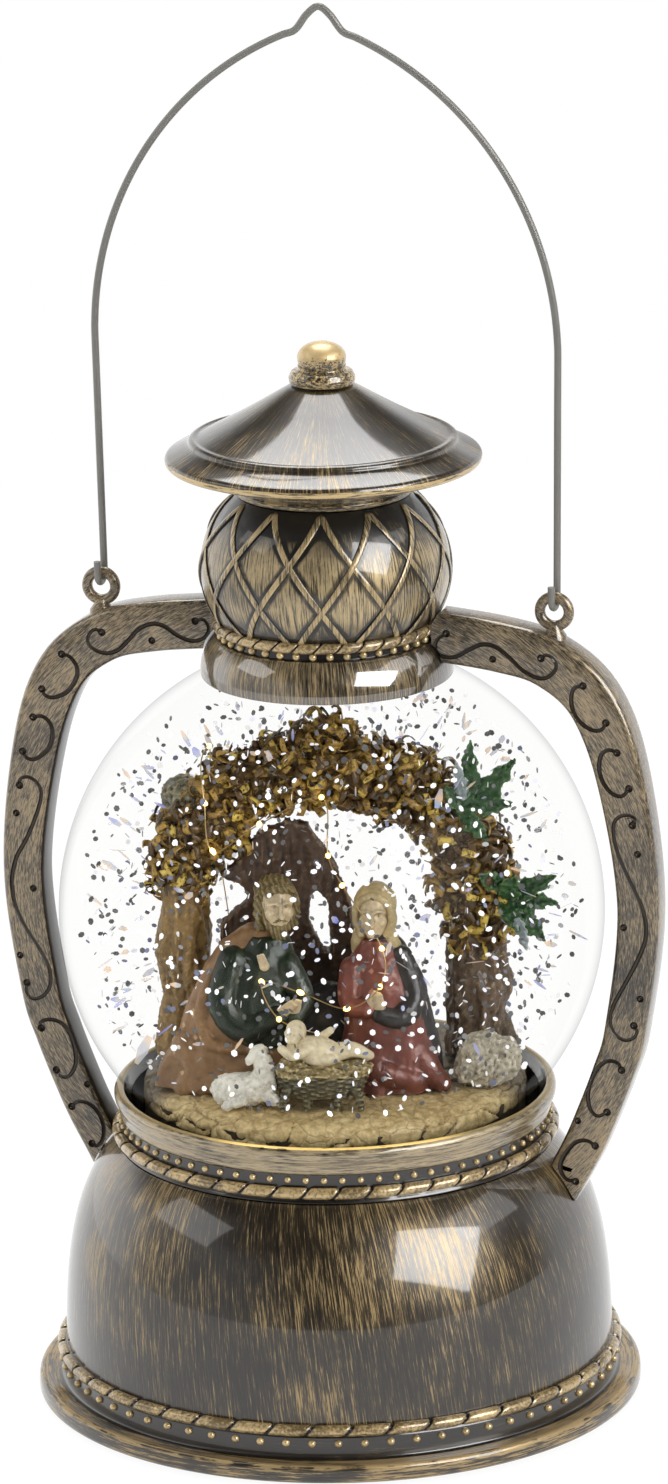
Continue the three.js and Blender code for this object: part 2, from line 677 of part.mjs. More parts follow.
// Impeller in its well, turned through the membrane by the magnets below
function impeller() {
  const bottom = wellFloor + FIT;
  const boreR = PIN_R + FIT;
  const disc = closedTurn([
    point(boreR, bottom), point(ROTOR_R, bottom), point(ROTOR_R, bottom + IMPELLER_DISC_H),
    point(ROTOR_HUB_R, bottom + IMPELLER_DISC_H), point(ROTOR_HUB_R, bottom + IMPELLER_H),
    point(boreR, bottom + IMPELLER_H),
  ], SMALL_ROUND);
  const blades = around(BLADE_COUNT, (a) => (
    block(ROTOR_HUB_R - 1, ROTOR_R - 0.5, -BLADE_T / 2, BLADE_T / 2,
      bottom + IMPELLER_DISC_H - 0.5, bottom + IMPELLER_H - 0.4).rotateZ(a)
  ));
  return join(disc, ...blades);
}

function stopper() {
  const pin = rod(PIN_R, wellFloor - 0.5, wellFloor + IMPELLER_H + 1.2, TINY_ROUND);
  const plug = turn([
    point(0, membraneBottom), point(STOPPER_BOSS_R - FIT, membraneBottom),
    point(STOPPER_BOSS_R - FIT, neckBottom), point(stopperR, neckBottom),
    point(stopperR, stopperTop), point(WELL_R, stopperTop), point(WELL_R, wellFloor), point(0, wellFloor),
  ], UPPER_ROUND);
  const hole = rod(LEAD_HOLE_R, 0, stopperTop + 1, TINY_ROUND);
  return cut(join(plug, pin), hole.translate(LEAD_HOLE_X, LEAD_HOLE_Y, 0));
}

// Lower collar: rope ring, bead band, smooth band and rolled lip
function lowerCollar() {
  const innerR = NECK_R + FIT;
  const wallR = innerR + COLLAR_WALL;
  const ropeTop = collarBottom + 2 * COLLAR_ROPE_R + 0.3;
  const smoothBottom = ropeTop + COLLAR_BEAD_BAND;
  const lipTop = smoothBottom + COLLAR_LIP_H;
  const lipR = wallR + COLLAR_LIP_OUT;
  return closedTurn([
    point(innerR, collarBottom),
    point(wallR, collarBottom),
    ...rope(wallR + 0.3, collarBottom + 0.2, COLLAR_ROPE_R),
    point(wallR - 0.3, ropeTop),
    point(wallR - 0.3, smoothBottom),
    point(wallR + 0.2, smoothBottom + 0.4),
    point(lipR, lipTop - 1.6),
    point(lipR - 0.5, lipTop - 0.5),
    point(lipR - 1.6, lipTop),
    point(innerR, lipTop - 1.6),
  ]);
}

function globe() {
  const outerJoint = THREE.MathUtils.radToDeg(Math.asin((neckTop - globeZ) / GLOBE_R));
  const innerR = GLOBE_R - GLASS_T;
  const innerJoint = -THREE.MathUtils.radToDeg(Math.acos(neckInnerR / innerR));
  const outside = [
    ...arc(0, globeZ, GLOBE_R, outerJoint, 0, 3),
    ...arc(0, globeZ, GLOBE_R, 0, 90, 6).slice(1),
  ];
  const inside = arc(0, globeZ, innerR, 90, innerJoint, 5);
  outside[outside.length - 1].x = 0;
  inside[0].x = 0;
  return turn([
    ...inside, point(neckInnerR, neckBottom), point(NECK_R, neckBottom),
    ...outside,
  ]);
}

// Upper collar: flared skirt on the globe, bead band, rope ring and floor of the chimney
const tongueZ = upperBandBottom + UPPER_BEAD_BAND / 2;
function upperCollar() {
  const onGlobe = (r) => globeZ + Math.sqrt(GLOBE_R ** 2 - r ** 2) + FIT;
  const innerR = UPPER_BAND_R - WALL;
  const lipInnerR = UPPER_LIP_R - 1.4;
  const body = turn([
    point(0, upperPlateBottom),
    point(innerR, upperPlateBottom),
    point(innerR, upperBandBottom - 1),
    point(lipInnerR, onGlobe(lipInnerR)),
    point(UPPER_LIP_R - 0.5, onGlobe(UPPER_LIP_R - 0.5)),
    point(UPPER_LIP_R, lipBottom + 1.2),
    point(UPPER_BAND_R + 1.2, upperBandBottom - 1.2),
    point(UPPER_BAND_R, upperBandBottom),
    ...rope(UPPER_BAND_R, upperRopeBottom, UPPER_ROPE_R),
    point(UPPER_BAND_R - 0.4, upperTop),
    point(0, upperTop),
  ], UPPER_ROUND);
  const slots = [0, Math.PI].map((a) => (
    block(
      innerR - 1, UPPER_BAND_R + 2, -TONGUE_W / 2 - FIT, TONGUE_W / 2 + FIT,
      tongueZ - TONGUE_H / 2 - FIT, tongueZ + TONGUE_H / 2 + FIT,
    ).rotateZ(a)
  ));
  return cut(body, rod(TIE_SCREW_R + FIT, upperPlateBottom - 1, upperTop + 1, TINY_ROUND), ...slots);
}

// The chimney's side at a height, moved outwards by an offset
function chimneyRadius(z, offset = 0) {
  return chimneyAxisR + Math.sqrt((CHIMNEY_BOW + offset) ** 2 - (z - chimneyBellyZ) ** 2);
}

function chimneySide(offset, from, to, steps) {
  return Array.from({ length: steps + 1 }, (_, i) => {
    const z = from + ((to - from) * i) / steps;
    return point(chimneyRadius(z, offset), z);
  });
}

// One flat band up the chimney's side. It turns one way as it rises.
function band(start, way, proud) {
  const bottom = chimneyBottom + 0.6;
  const top = chimneyTop - 0.5;
  const sink = 0.8;
  const steps = 4;
  const vertices = [];
  for (let i = 0; i <= steps; i++) {
    const z = bottom + ((top - bottom) * i) / steps;
    const turned = start + (way * LATTICE_TURN * (z - chimneyBottom)) / CHIMNEY_H;
    for (const [offset, half] of [[-sink, -0.5], [-sink, 0.5], [proud, 0.35], [proud, -0.35]]) {
      const r = chimneyRadius(z, offset);
      const [x, y] = onCircle(r, turned + THREE.MathUtils.radToDeg((half * RIB_W) / Math.cos(0.6) / r));
      vertices.push(x, y, z);
    }
  }
  const faces = [0, 1, 2, 0, 2, 3];
  for (let i = 0; i < steps; i++) {
    for (let k = 0; k < 4; k++) {
      const a = i * 4 + k;
      const b = i * 4 + ((k + 1) % 4);
      faces.push(a, a + 4, b, b, a + 4, b + 4);
    }
  }
  const end = steps * 4;
  faces.push(end, end + 2, end + 1, end, end + 3, end + 2);
  const geometry = new THREE.BufferGeometry();
  geometry.setAttribute('position', new THREE.Float32BufferAttribute(vertices, 3));
  geometry.setIndex(faces);
  return geometry;
}

// Onion body with its lattice: bands that turn right over bands that turn left
function chimney() {
  const body = closedTurn([
    ...chimneySide(0, chimneyBottom, chimneyTop, 4),
    ...chimneySide(-WALL, chimneyTop, chimneyBottom, 2),
  ], UPPER_ROUND);
  const bands = [];
  for (let k = 0; k < LATTICE_BANDS; k++) {
    const start = (360 / LATTICE_BANDS) * k + LATTICE_PHASE;
    bands.push(band(start - LATTICE_TURN / 3, 1, RIB_PROUD));
    bands.push(band(start + LATTICE_TURN / 3, -1, UNDER_RIB_PROUD));
  }
  return join(body, ...bands);
}

// Cap: spigot in the chimney's mouth, neck ring, brim, ridge and cone, hollow below
function cap() {
  const spigotR = chimneyRadius(chimneyTop, -WALL) - FIT;
  const spigotBottom = chimneyTop - CAP_SPIGOT_H;
  const neckR = chimneyRadius(chimneyTop) + 0.3;
  const neckTop = capBottom + CAP_NECK_H;
  const ridgeFoot = BRIM_R - BRIM_W;
  const ridgeZ = brimZ + BRIM_RISE;
  const roofR = ridgeFoot - 2 * WALL;
  const innerR = spigotR - WALL + 0.6;
  const roof = turn([
    point(0, capTop - 2 * WALL),
    point(roofR, coneBottom - WALL * 1.4),
    point(roofR, brimZ),
    point(innerR, neckTop + 1.5),
    point(innerR, spigotBottom),
    point(spigotR, spigotBottom),
    point(spigotR, capBottom),
    point(neckR, capBottom),
    point(neckR, neckTop),
    point(neckR + 2.2, neckTop + 1),
    ...arc(BRIM_R - BRIM_EDGE_R, brimZ, BRIM_EDGE_R, -70, 70, 2),
    point(ridgeFoot + 0.4, ridgeZ - 0.4),
    point(ridgeFoot, ridgeZ + RIDGE_R),
    point(ridgeFoot - 1, ridgeZ + 2 * RIDGE_R),
    point(ridgeFoot - 2, coneBottom - 0.3),
    point((ridgeFoot + CONE_TOP_R) / 2 - 1, coneBottom + CONE_H / 2 - 0.4),
    point(CONE_TOP_R - 0.3, capTop),
    point(0, capTop),
  ], UPPER_ROUND);
  const boss = rod(TIE_SCREW_R + FIT + WALL, neckTop + 3, capTop - WALL, TINY_ROUND);
  const bore = rod(TIE_SCREW_R + FIT, neckTop, capTop - STEM_H - WALL, TINY_ROUND);
  const stemBore = rod(STEM_R + FIT, capTop - STEM_H - FIT, capTop + 1, TINY_ROUND);
  return cut(join(roof, boss), bore, stemBore);
}

function finial() {
  const bottom = capTop + FIT;
  const discTop = bottom + FINIAL_DISC_H;
  const ballZ = discTop + FINIAL_BALL_RISE;
  const dome = arc(0, 0, 1, 0, 90, 4).map((p) => point(p.x * FINIAL_BALL_R, ballZ + p.y * FINIAL_BALL_H));
  dome[dome.length - 1].x = 0;
  return turn([
    point(0, capTop - STEM_H),
    point(STEM_R, capTop - STEM_H),
    point(STEM_R, bottom),
    point(FINIAL_DISC_R, bottom),
    point(FINIAL_DISC_R, discTop - 0.5),
    point(FINIAL_DISC_R - 0.5, discTop),
    point(FINIAL_BALL_R - 0.3, discTop),
    ...dome,
  ], MIDDLE_ROUND);
}

// Right arm: bar, elbow, waist and foot along one curve, with the eye ring on top
const armEyeZ = barZ - 1 + EYE_NECK_H + EYE_RING_R + EYE_WIRE_R;
function arm() {
  const lowerX = armWaistX - 2.2;
  const middle = new THREE.SplineCurve([
    point(UPPER_BAND_R - 1, barZ),
    point(armWaistX - 25.8, barZ - 1.6),
    point(armWaistX - 16.3, barZ - 4.2),
    point(armWaistX - 8.2, barZ - 11.3),
    point(armWaistX - 3.1, barZ - 25.5),
    point(armWaistX, globeZ + ARM_WAIST_RISE),
    point(lowerX, globeZ - 19),
    point((lowerX + footPoint.x) / 2 + 0.5, (globeZ - 19 + footPoint.y) / 2 - 0.7),
    point(footPoint.x - 0.2, footPoint.y),
    point(footPoint.x - 2.6, footPoint.y - 6),
  ]);
  const widths = new THREE.SplineCurve([
    point(0, ARM_BAR_W), point(0.3, ARM_BAR_W), point(0.55, ARM_WAIST_W), point(1, ARM_FOOT_W),
  ]);
  const steps = 14;
  const outer = [];
  const inner = [];
  for (let i = 0; i <= steps; i++) {
    const at = middle.getPointAt(i / steps);
    const along = middle.getTangentAt(i / steps);
    const half = widths.getPoint(i / steps).y / 2 - ARM_EDGE;
    outer.push(point(at.x - along.y * half, at.y + along.x * half));
    inner.unshift(point(at.x + along.y * half, at.y - along.x * half));
  }
  const bar = new THREE.ExtrudeGeometry(new THREE.Shape([...outer, ...inner]), {
    depth: ARM_DEPTH - 2 * ARM_EDGE,
    bevelSize: ARM_EDGE,
    bevelThickness: ARM_EDGE,
    bevelSegments: 1,
  });
  bar.rotateX(Math.PI / 2).translate(0, ARM_DEPTH / 2 - ARM_EDGE, 0);
  const ring = new THREE.TorusGeometry(EYE_RING_R, EYE_WIRE_R, 6, 12).rotateX(Math.PI / 2);
  const neck = rod(1.5, barZ - 3, armEyeZ - EYE_RING_R, TINY_ROUND).translate(EYE_X, 0, 0);
  const tongue = block(
    UPPER_BAND_R - WALL, UPPER_BAND_R - WALL + TONGUE_L, -TONGUE_W / 2, TONGUE_W / 2,
    tongueZ - TONGUE_H / 2, tongueZ + TONGUE_H / 2,
  );
  const peg = atFoot(rod(PEG_R, -PEG_L, 2, TINY_ROUND));
  const pilot = atFoot(rod(SCREW_R + FIT, -PEG_L - 1, ARM_SCREW_L - PEG_L + FIT, TINY_ROUND));
  const trimmed = cut(bar, bowlTool(), collarTool());
  return cut(join(trimmed, ring.translate(EYE_X, 0, armEyeZ), neck, tongue, peg), pilot);
}

// What an arm is trimmed to: the bowl, and the upper collar with the chimney
function bowlTool() {
  return turn([
    point(0, bowlBottom), ...bowlPoints(FIT, 0, 1, 7), point(bowlTopR - 5, deckTop + FIT),
    point(0, deckTop + FIT),
  ]);
}

function collarTool() {
  return turn([
    point(0, lipBottom), point(UPPER_LIP_R, lipBottom),
    point(UPPER_LIP_R + FIT, lipBottom + 2.4),
    point(UPPER_BAND_R + 1.2 + FIT, upperBandBottom - 0.6),
    point(UPPER_BAND_R + FIT + UPPER_ROPE_R, upperBandBottom + 1),
    point(UPPER_BAND_R + FIT + UPPER_ROPE_R, chimneyBottom),
    ...chimneySide(FIT + RIB_PROUD, chimneyBottom + 0.6, chimneyTop, 6),
    point(0, chimneyTop),
  ]);
}

// Bail: hooks through the eyes, legs, pointed arch and rounded peak, from one wire
const hingeZ = armEyeZ + EYE_RING_R;
function bail() {
  const half = [];
  const add = (x, y, z) => half.push(new THREE.Vector3(x, y, hingeZ + z));
  add(EYE_X, -HOOK_R, HOOK_END_H);
  for (let i = 0; i <= 6; i++) {
    const a = Math.PI + (Math.PI * i) / 6;
    add(EYE_X, HOOK_R * Math.cos(a), HOOK_R * Math.sin(a));
  }
  const legTopX = EYE_X + BAIL_SPLAY;
  for (const share of [0.1, 0.55, 1]) add(EYE_X + BAIL_SPLAY * share, HOOK_R, BAIL_LEG_H * share);
  const centreX = legTopX - BAIL_ARC_R;
  const archH = BAIL_ARC_R * BAIL_ARC_STRETCH;
  const endAngle = Math.acos((BAIL_PEAK_W / 2 - centreX) / BAIL_ARC_R);
  for (let i = 1; i <= 10; i++) {
    const a = (endAngle * i) / 10;
    add(centreX + BAIL_ARC_R * Math.cos(a), HOOK_R, BAIL_LEG_H + archH * Math.sin(a));
  }
  const peakZ = BAIL_LEG_H + archH * Math.sin(endAngle) + BAIL_PEAK_H;
  add(BAIL_PEAK_W / 4, HOOK_R, peakZ - BAIL_PEAK_H * 0.35);
  const other = half.map((p) => new THREE.Vector3(-p.x, p.y, p.z)).reverse();
  return wire([...half, new THREE.Vector3(0, HOOK_R, hingeZ + peakZ), ...other], WIRE_R, 6, 1);
}

// The hole for the lights' lead, as seen from the turned scene
const leadHole = point(LEAD_HOLE_X, LEAD_HOLE_Y)
  .rotateAround(new THREE.Vector2(), -THREE.MathUtils.degToRad(SCENE_TURN));

// Ground: a stone disc with the water port behind the figures
function ground() {
  const disc = turn([
    point(0, groundBottom), point(stopperR - 1, groundBottom), point(stopperR, groundBottom + 0.6),
    point(stopperR, groundTop - 0.5), point(stopperR - 0.8, groundTop), point(0, groundTop),
  ], UPPER_ROUND);
  const port = rod(PORT_R, 0, groundTop + 1, SMALL_ROUND).translate(0, PORT_Y, 0);
  const hole = rod(LEAD_HOLE_R, 0, groundTop + 1, TINY_ROUND);
  hole.translate(leadHole.x, leadHole.y, 0);
  return cut(disc, port, hole);
}

function grille() {
  const disc = rod(PORT_R - FIT, groundTop - 1.6, groundTop - 0.4, SMALL_ROUND);
  const slots = [-3.2, 0, 3.2].map((x) => (
    block(x - 0.9, x + 0.9, -4, 4, 0, groundTop + 1)
  ));
  return cut(disc, ...slots).translate(0, PORT_Y, 0);
}

function pillar(x, y, a, b, top) {
  const height = top - DRAWN.standZ;
  const rings = [0, 0.12, 0.35, 0.6, 0.85, 1].map((share, i) => {
    const swell = [1, 1.06, 0.92, 1.02, 0.9, 0.82][i];
    return [x + Math.sin(i * 2.3) * 0.8, y, DRAWN.standZ + height * share, a * swell, b * swell];
  });
  return loft(rings, 10);
}

// Thatch: a rough arch of moss that lies on both pillars
const PILLAR_LEFT = { x: -27.5, y: 6, top: 98 };
const PILLAR_RIGHT = { x: 27, y: 4.5, top: 87 };
function thatch() {
  const route = [
    [PILLAR_LEFT.x, 6, PILLAR_LEFT.top + FIT], [-26, 6, 105], [-19.5, 6, 112.5], [-10, 6, 117],
    [0, 5.5, 119.5], [10, 5, 117.5], [19, 4.5, 112], [25.5, 4.5, 103], [27.6, 4.5, 95],
    [PILLAR_RIGHT.x, 4.5, PILLAR_RIGHT.top + FIT],
  ].map((p) => new THREE.Vector3(...p));
  const middle = new StepCurve(route, false, 'centripetal').getPoints(60);
  const nearest = (corner) => middle.reduce((best, p) => (
    p.distanceToSquared(corner) < best.distanceToSquared(corner) ? p : best
  ));
  const rough = roughen(wire(route, 6.6, 8, 2), 1.5, 0.9, nearest);
  const belowLeft = block(-45, 0, -20, 30, 0, PILLAR_LEFT.top + FIT);
  const belowRight = block(0, 45, -20, 30, 0, PILLAR_RIGHT.top + FIT);
  return cut(rough, belowLeft, belowRight);
}

// Back wall of the stable: it stands beside the left pillar and bridges the water port
const STABLE_WALL_FRONT = 2; // its front face
const STABLE_WALL_T = 4;
const STABLE_WALL_EDGE = 0.6;
function stableWall() {
  const outline = new THREE.Shape([
    point(-20.6, DRAWN.standZ), point(-8.5, DRAWN.standZ), point(-7.4, 67.5), point(-3.5, 71), point(4.4, 72),
    point(4.6, 83.6), point(3.6, 92.2), point(1.2, 99.2), point(-1.4, 103.8), point(-4, 107.6),
    point(-8, 109), point(-13, 106.8), point(-17, 101.5), point(-20.6, 98.4), point(-19.3, 97.4),
    point(-16.2, 96.2), point(-15.3, 93.6), point(-17.6, 91.6), point(-20.6, 89),
  ]);
  outline.holes.push(new THREE.Path([
    point(-2.4, 95.1), point(-1, 93.3), point(-0.4, 85.7), point(-1.7, 83.7), point(-4.3, 89.9),
    point(-3.8, 94.4), point(-2.4, 95.1),
  ]));
  const wall = new THREE.ExtrudeGeometry(outline, {
    depth: STABLE_WALL_T - 2 * STABLE_WALL_EDGE,
    bevelSize: STABLE_WALL_EDGE,
    bevelOffset: -STABLE_WALL_EDGE,
    bevelThickness: STABLE_WALL_EDGE,
    bevelSegments: 1,
  });
  return wall.rotateX(Math.PI / 2).translate(0, STABLE_WALL_FRONT + STABLE_WALL_T - STABLE_WALL_EDGE, 0);
}

// A pointed leaf from its stem end to its tip
function leaf(from, to, width) {
  const length = from.distanceTo(to);
  const blade = loft([
    [0, 0, 0, 0.5, 0.4], [0, 0, length * 0.45, width / 2, 0.7], [0, 0, length, 0.25, 0.25],
  ], 4);
  const aim = new THREE.Quaternion().setFromUnitVectors(
    new THREE.Vector3(0, 0, 1), to.clone().sub(from).normalize(),
  );
  return blade.applyQuaternion(aim).translate(from.x, from.y, from.z);
}

function spray(root, tips, width) {
  const base = new THREE.Vector3(...root);
  return join(...tips.map((tip) => leaf(base, new THREE.Vector3(...tip), width)));
}

// Kneeling figures: robe, shoulders, head and folded arms
function manFigure() {
  return join(
    loft([
      [-19.5, -9, DRAWN.standZ, 13.5, 7.6], [-19.5, -9, DRAWN.standZ + 3, 13, 7.4], [-17, -9, 72, 11, 7],
      [-14, -8.6, 80, 9.6, 6.6], [-12.6, -8.3, 86, 8.6, 6], [-11.4, -8.1, 90, 4.2, 3.8],
      [-10.6, -8, 92.5, 2.4, 2.4],
    ], 10),
    egg(-10.4, -8, 96, 3.9, 4.2, 4.8, 8, 6),
    loft([[-7, -14.5, 79, 1.8, 1.8], [-8.5, -13.2, 83, 2.6, 2.4], [-12, -11, 86.5, 3, 3]], 6),
  );
}

function womanFigure() {
  return join(
    loft([
      [10.2, -11, DRAWN.standZ, 9.6, 7.4], [10.2, -11, DRAWN.standZ + 3, 9.2, 7.1],
      [9.8, -10.8, 72, 7.8, 6.4], [9.2, -10.5, 80, 6.6, 5.8], [8.6, -10.2, 86, 5.6, 5], [8, -10, 90, 3.6, 3.6],
    ], 10),
    egg(7.7, -10, 94.6, 4, 4.3, 5, 8, 6),
    loft([[5.2, -16, 79, 1.6, 1.6], [6.2, -15, 82.5, 2.2, 2.2], [8, -12.5, 85, 2.6, 2.6]], 6),
  );
}

function manger() {
  return loft([
    [-2.5, -23, DRAWN.standZ, 7.5, 4.2], [-2.5, -23, DRAWN.standZ + 3, 8.6, 5],
    [-2.5, -23, DRAWN.standZ + 6.4, 9.5, 5.4], [-2.5, -23, DRAWN.standZ + 7.6, 8.4, 4.6],
  ], 12);
}

function infant() {
  const bottom = DRAWN.standZ + 7.6 + FIT;
  return join(
    loft([
      [-1.5, -23, bottom, 6.4, 2.4], [-1.5, -23, bottom + 2, 6, 2.8],
      [-1.5, -23, bottom + 4, 4, 1.6],
    ], 10),
    egg(-7, -23, bottom + 3.2, 2.6, 2.5, 2.7, 8, 6),
  );
}

function lamb() {
  return join(
    loft([
      [-17.2, -23, DRAWN.standZ, 4.6, 2.8], [-17.2, -23, DRAWN.standZ + 2.5, 5.1, 3.3],
      [-17.2, -23, DRAWN.standZ + 5, 4.4, 2.8], [-17.2, -23, DRAWN.standZ + 6.2, 2.6, 1.6],
    ], 10),
    egg(-20.6, -23.6, DRAWN.standZ + 6.4, 2, 1.7, 2.1, 8, 5),
  );
}

function rock() {
  return loft([
    [27, -11.5, DRAWN.standZ, 5.6, 5], [27.4, -11.5, DRAWN.standZ + 3, 5.9, 5.2],
    [27.6, -11.2, DRAWN.standZ + 6.5, 4.4, 4], [27.2, -11, DRAWN.standZ + 9, 2.2, 2],
  ], 9);
}

// Light string: a thin wire from the stopper over the thatch and down among the figures
const lit = (x, y, z) => Object.assign([x, y, z], { lit: true });
const STRING_ROUTE = [
  [leadHole.x, leadHole.y, DRAWN.standZ - FIT - GROUND_T], [leadHole.x, leadHole.y, DRAWN.standZ + 3.7],
  [-19, 18.5, 82], [-21, 16.4, 100], [-22, 14.5, 112], lit(-22, 7, 122),
  [-23.5, 1, 120.5], [-23, -3, 114], lit(-21.6, -3.9, 105), lit(-13, -4, 110), lit(-1.5, -4, 115),
  lit(-0.5, -4.6, 104), [2, -12, 100.5], lit(9, -17.4, 90), [8.5, -18.4, 83], lit(2.4, -18.6, 79),
  [-6, -17.8, 82], lit(-13, -17.4, 84), [-10, -18, 77], lit(-2, -17.2, 73.5),
];
function lightString() {
  const points = STRING_ROUTE.map((p) => new THREE.Vector3(...p));
  const drops = STRING_ROUTE.filter((p) => p.lit).map((p) => (
    new THREE.OctahedronGeometry(LED_R).translate(...p)
  ));
  return join(wire(points, STRING_R, 4, 1), ...drops);
}

// Leads inside the base
function lead(points) {
  return wire(points.map((p) => new THREE.Vector3(...p)), LEAD_R, 5, 2);
}

// Assembly
piece('base_shell', baseShell(), antiqueBrass);
piece('base_plate', basePlate(), blackPlastic);
piece('battery_door', batteryDoor(), blackPlastic);
footPlaces.forEach(([x, y], i) => {
  piece(`foot_${i + 1}`, rod(FOOT_R, 0, FOOT_PROUD + FOOT_SUNK, 12), greyRubber).position.set(x, y, 0);
});
CASE_SCREW_ANGLES.forEach((degrees, i) => {
  const [x, y] = onCircle(caseScrewR, degrees);
  const caseScrew = screw(SCREW_HEAD_R, SCREW_HEAD_H, SCREW_R, CASE_SCREW_L);
  piece(`case_screw_${i + 1}`, caseScrew, plainSteel).position.set(x, y, FOOT_PROUD);
});
[0, 1, 2].forEach((i) => piece(`cell_${i + 1}`, cell(i), cellSleeve));
contacts();
switchParts();
drive();
piece('stopper', stopper(), whiteRubber);
piece('impeller', impeller(), clearPlastic);
piece('neck_gasket', closedTurn([
  point(NECK_R - GASKET_W, deckTop + FIT), point(NECK_R, deckTop + FIT),
  point(NECK_R, deckTop + FIT + GASKET_T), point(NECK_R - GASKET_W, deckTop + FIT + GASKET_T),
], UPPER_ROUND), greyRubber);
piece('lower_collar', lowerCollar(), brightBrass);
piece('globe_glass', globe(), clearGlass);
piece('upper_collar', upperCollar(), antiqueBrass);
piece('chimney', chimney(), antiqueBrass);
piece('cap', cap(), antiqueBrass);
piece('finial', finial(), brightBrass);
const tieLength = capTop - STEM_H - WALL - 2 - upperPlateBottom;
piece('tie_screw', screw(TIE_HEAD_R, TIE_HEAD_H, TIE_SCREW_R, tieLength), plainSteel)
  .position.z = upperPlateBottom - FIT - TIE_HEAD_H;
piece('right_arm', arm(), antiqueBrass);
piece('left_arm', arm(), antiqueBrass).rotation.z = Math.PI;
const armScrew = () => atFoot(
  screw(SCREW_HEAD_R, SCREW_HEAD_H, SCREW_R, ARM_SCREW_L).translate(0, 0, -PEG_L - SCREW_HEAD_H - FIT),
);
piece('arm_screw_right', armScrew(), plainSteel);
piece('arm_screw_left', armScrew(), plainSteel).rotation.z = Math.PI;
piece('bail', bail(), steelWire);
const boardTop = plateTop + 2 * FIT + SWITCH_H + BOARD_T;
const motorBottom = motorTop - MOTOR_H;
piece('motor_lead', lead([
  [9, SWITCH_Y - 4, boardTop + FIT + LEAD_R], [9, 31, 18], [8, 26, motorBottom - 1.5],
  [6, 12, motorBottom - FIT - LEAD_R], [5, 5, motorBottom - FIT - LEAD_R],
]), greyRubber);
piece('light_lead', lead([
  [-9, SWITCH_Y - 2, boardTop + FIT + LEAD_R], [-14, 34, 20], [-23, 26, 32],
  [LEAD_HOLE_X, LEAD_HOLE_Y + 3, deckBottom - 6], [LEAD_HOLE_X, LEAD_HOLE_Y, deckBottom],
  [LEAD_HOLE_X, LEAD_HOLE_Y, stopperTop],
]), greyRubber);

piece('ground_disc', ground(), stone, floor);
piece('impeller_grille', grille(), blackPlastic, floor);
piece('rock_pillar_left', pillar(PILLAR_LEFT.x, PILLAR_LEFT.y, 5.2, 6, PILLAR_LEFT.top), bark, scene);
piece('rock_pillar_right', pillar(PILLAR_RIGHT.x, PILLAR_RIGHT.y, 6.2, 5.6, PILLAR_RIGHT.top), bark, scene);
piece('stable_wall', stableWall(), bark, scene);
piece('thatch_roof', thatch(), moss, scene);
piece('leaf_spray_top', spray([25.4, -1.4, 111.2], [
  [25.5, -3, 125], [34, -4, 122], [33.5, -5, 113.5], [22, -6, 117],
], 4.6), leafGreen, scene);
piece('leaf_spray_side', spray([32.1, 0, 93.9], [
  [41, -3, 99], [42, -2, 93], [39.5, -4, 86.5], [33.5, -6, 99], [34, -8, 90],
], 5), leafGreen, scene);
piece('man_figure', manFigure(), brownCloth, scene);
piece('woman_figure', womanFigure(), redCloth, scene);
piece('manger', manger(), straw, scene);
piece('infant', infant(), swaddling, scene);
piece('lamb', lamb(), fleece, scene);
piece('pale_rock', rock(), paleRock, scene);
piece('light_string', lightString(), copperWire, scene);

export default lantern;
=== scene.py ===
# %% [markdown]
# LED lantern with a water globe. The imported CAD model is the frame: it says where every piece is
# and how it moves. This script dresses that frame. Turned mouldings get smooth outlines, ropes,
# beads and lattice bands are grown by rule, the scene in the globe is sculpted, and every piece
# gets a finish made of nodes.

# %% Load the frame
import math
import random

import bmesh
import bpy
import numpy as np
from mathutils import Matrix, Vector, noise


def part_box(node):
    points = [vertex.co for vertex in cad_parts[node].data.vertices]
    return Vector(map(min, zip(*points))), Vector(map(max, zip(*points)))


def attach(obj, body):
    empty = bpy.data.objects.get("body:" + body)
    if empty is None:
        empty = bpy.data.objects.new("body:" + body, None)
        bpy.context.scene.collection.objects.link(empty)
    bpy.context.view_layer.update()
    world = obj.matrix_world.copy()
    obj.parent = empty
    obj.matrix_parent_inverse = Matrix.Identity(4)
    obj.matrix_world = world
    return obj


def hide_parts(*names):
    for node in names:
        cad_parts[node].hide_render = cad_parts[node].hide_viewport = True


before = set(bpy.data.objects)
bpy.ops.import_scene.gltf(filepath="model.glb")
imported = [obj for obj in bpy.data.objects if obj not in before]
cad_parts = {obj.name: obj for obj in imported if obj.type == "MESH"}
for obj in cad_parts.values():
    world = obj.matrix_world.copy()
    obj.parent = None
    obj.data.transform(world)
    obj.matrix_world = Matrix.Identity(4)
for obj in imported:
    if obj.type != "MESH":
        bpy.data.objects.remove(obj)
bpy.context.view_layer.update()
MM = 0.001  # shapes are written in millimetres and stored in metres


def in_scene(name, data):
    """A new object, put in the scene."""
    thing = bpy.data.objects.new(name, data)
    bpy.context.scene.collection.objects.link(thing)
    return thing


# %% [markdown]
# The photograph was taken from a little above, with a long lens, so round rings show as slim
# ellipses and nothing bulges. The lantern stands turned by 16.5 degrees. A camera can be aimed by
# eye, but here its place was worked out from the outlines of the round parts, so the same rings
# fall on the same ellipses.

# %% Camera
TURN = math.radians(16.5)  # how far the camera stands round to the right
CAMERA_ELEVATION = math.radians(15.9)
CAMERA_DISTANCE = 1465 * MM
CAMERA_ROLL = math.radians(-1.054)
CAMERA_TARGET = Vector((0.97, 0, 124.32)) * MM
LENS = 194.07  # on a 36 mm long side

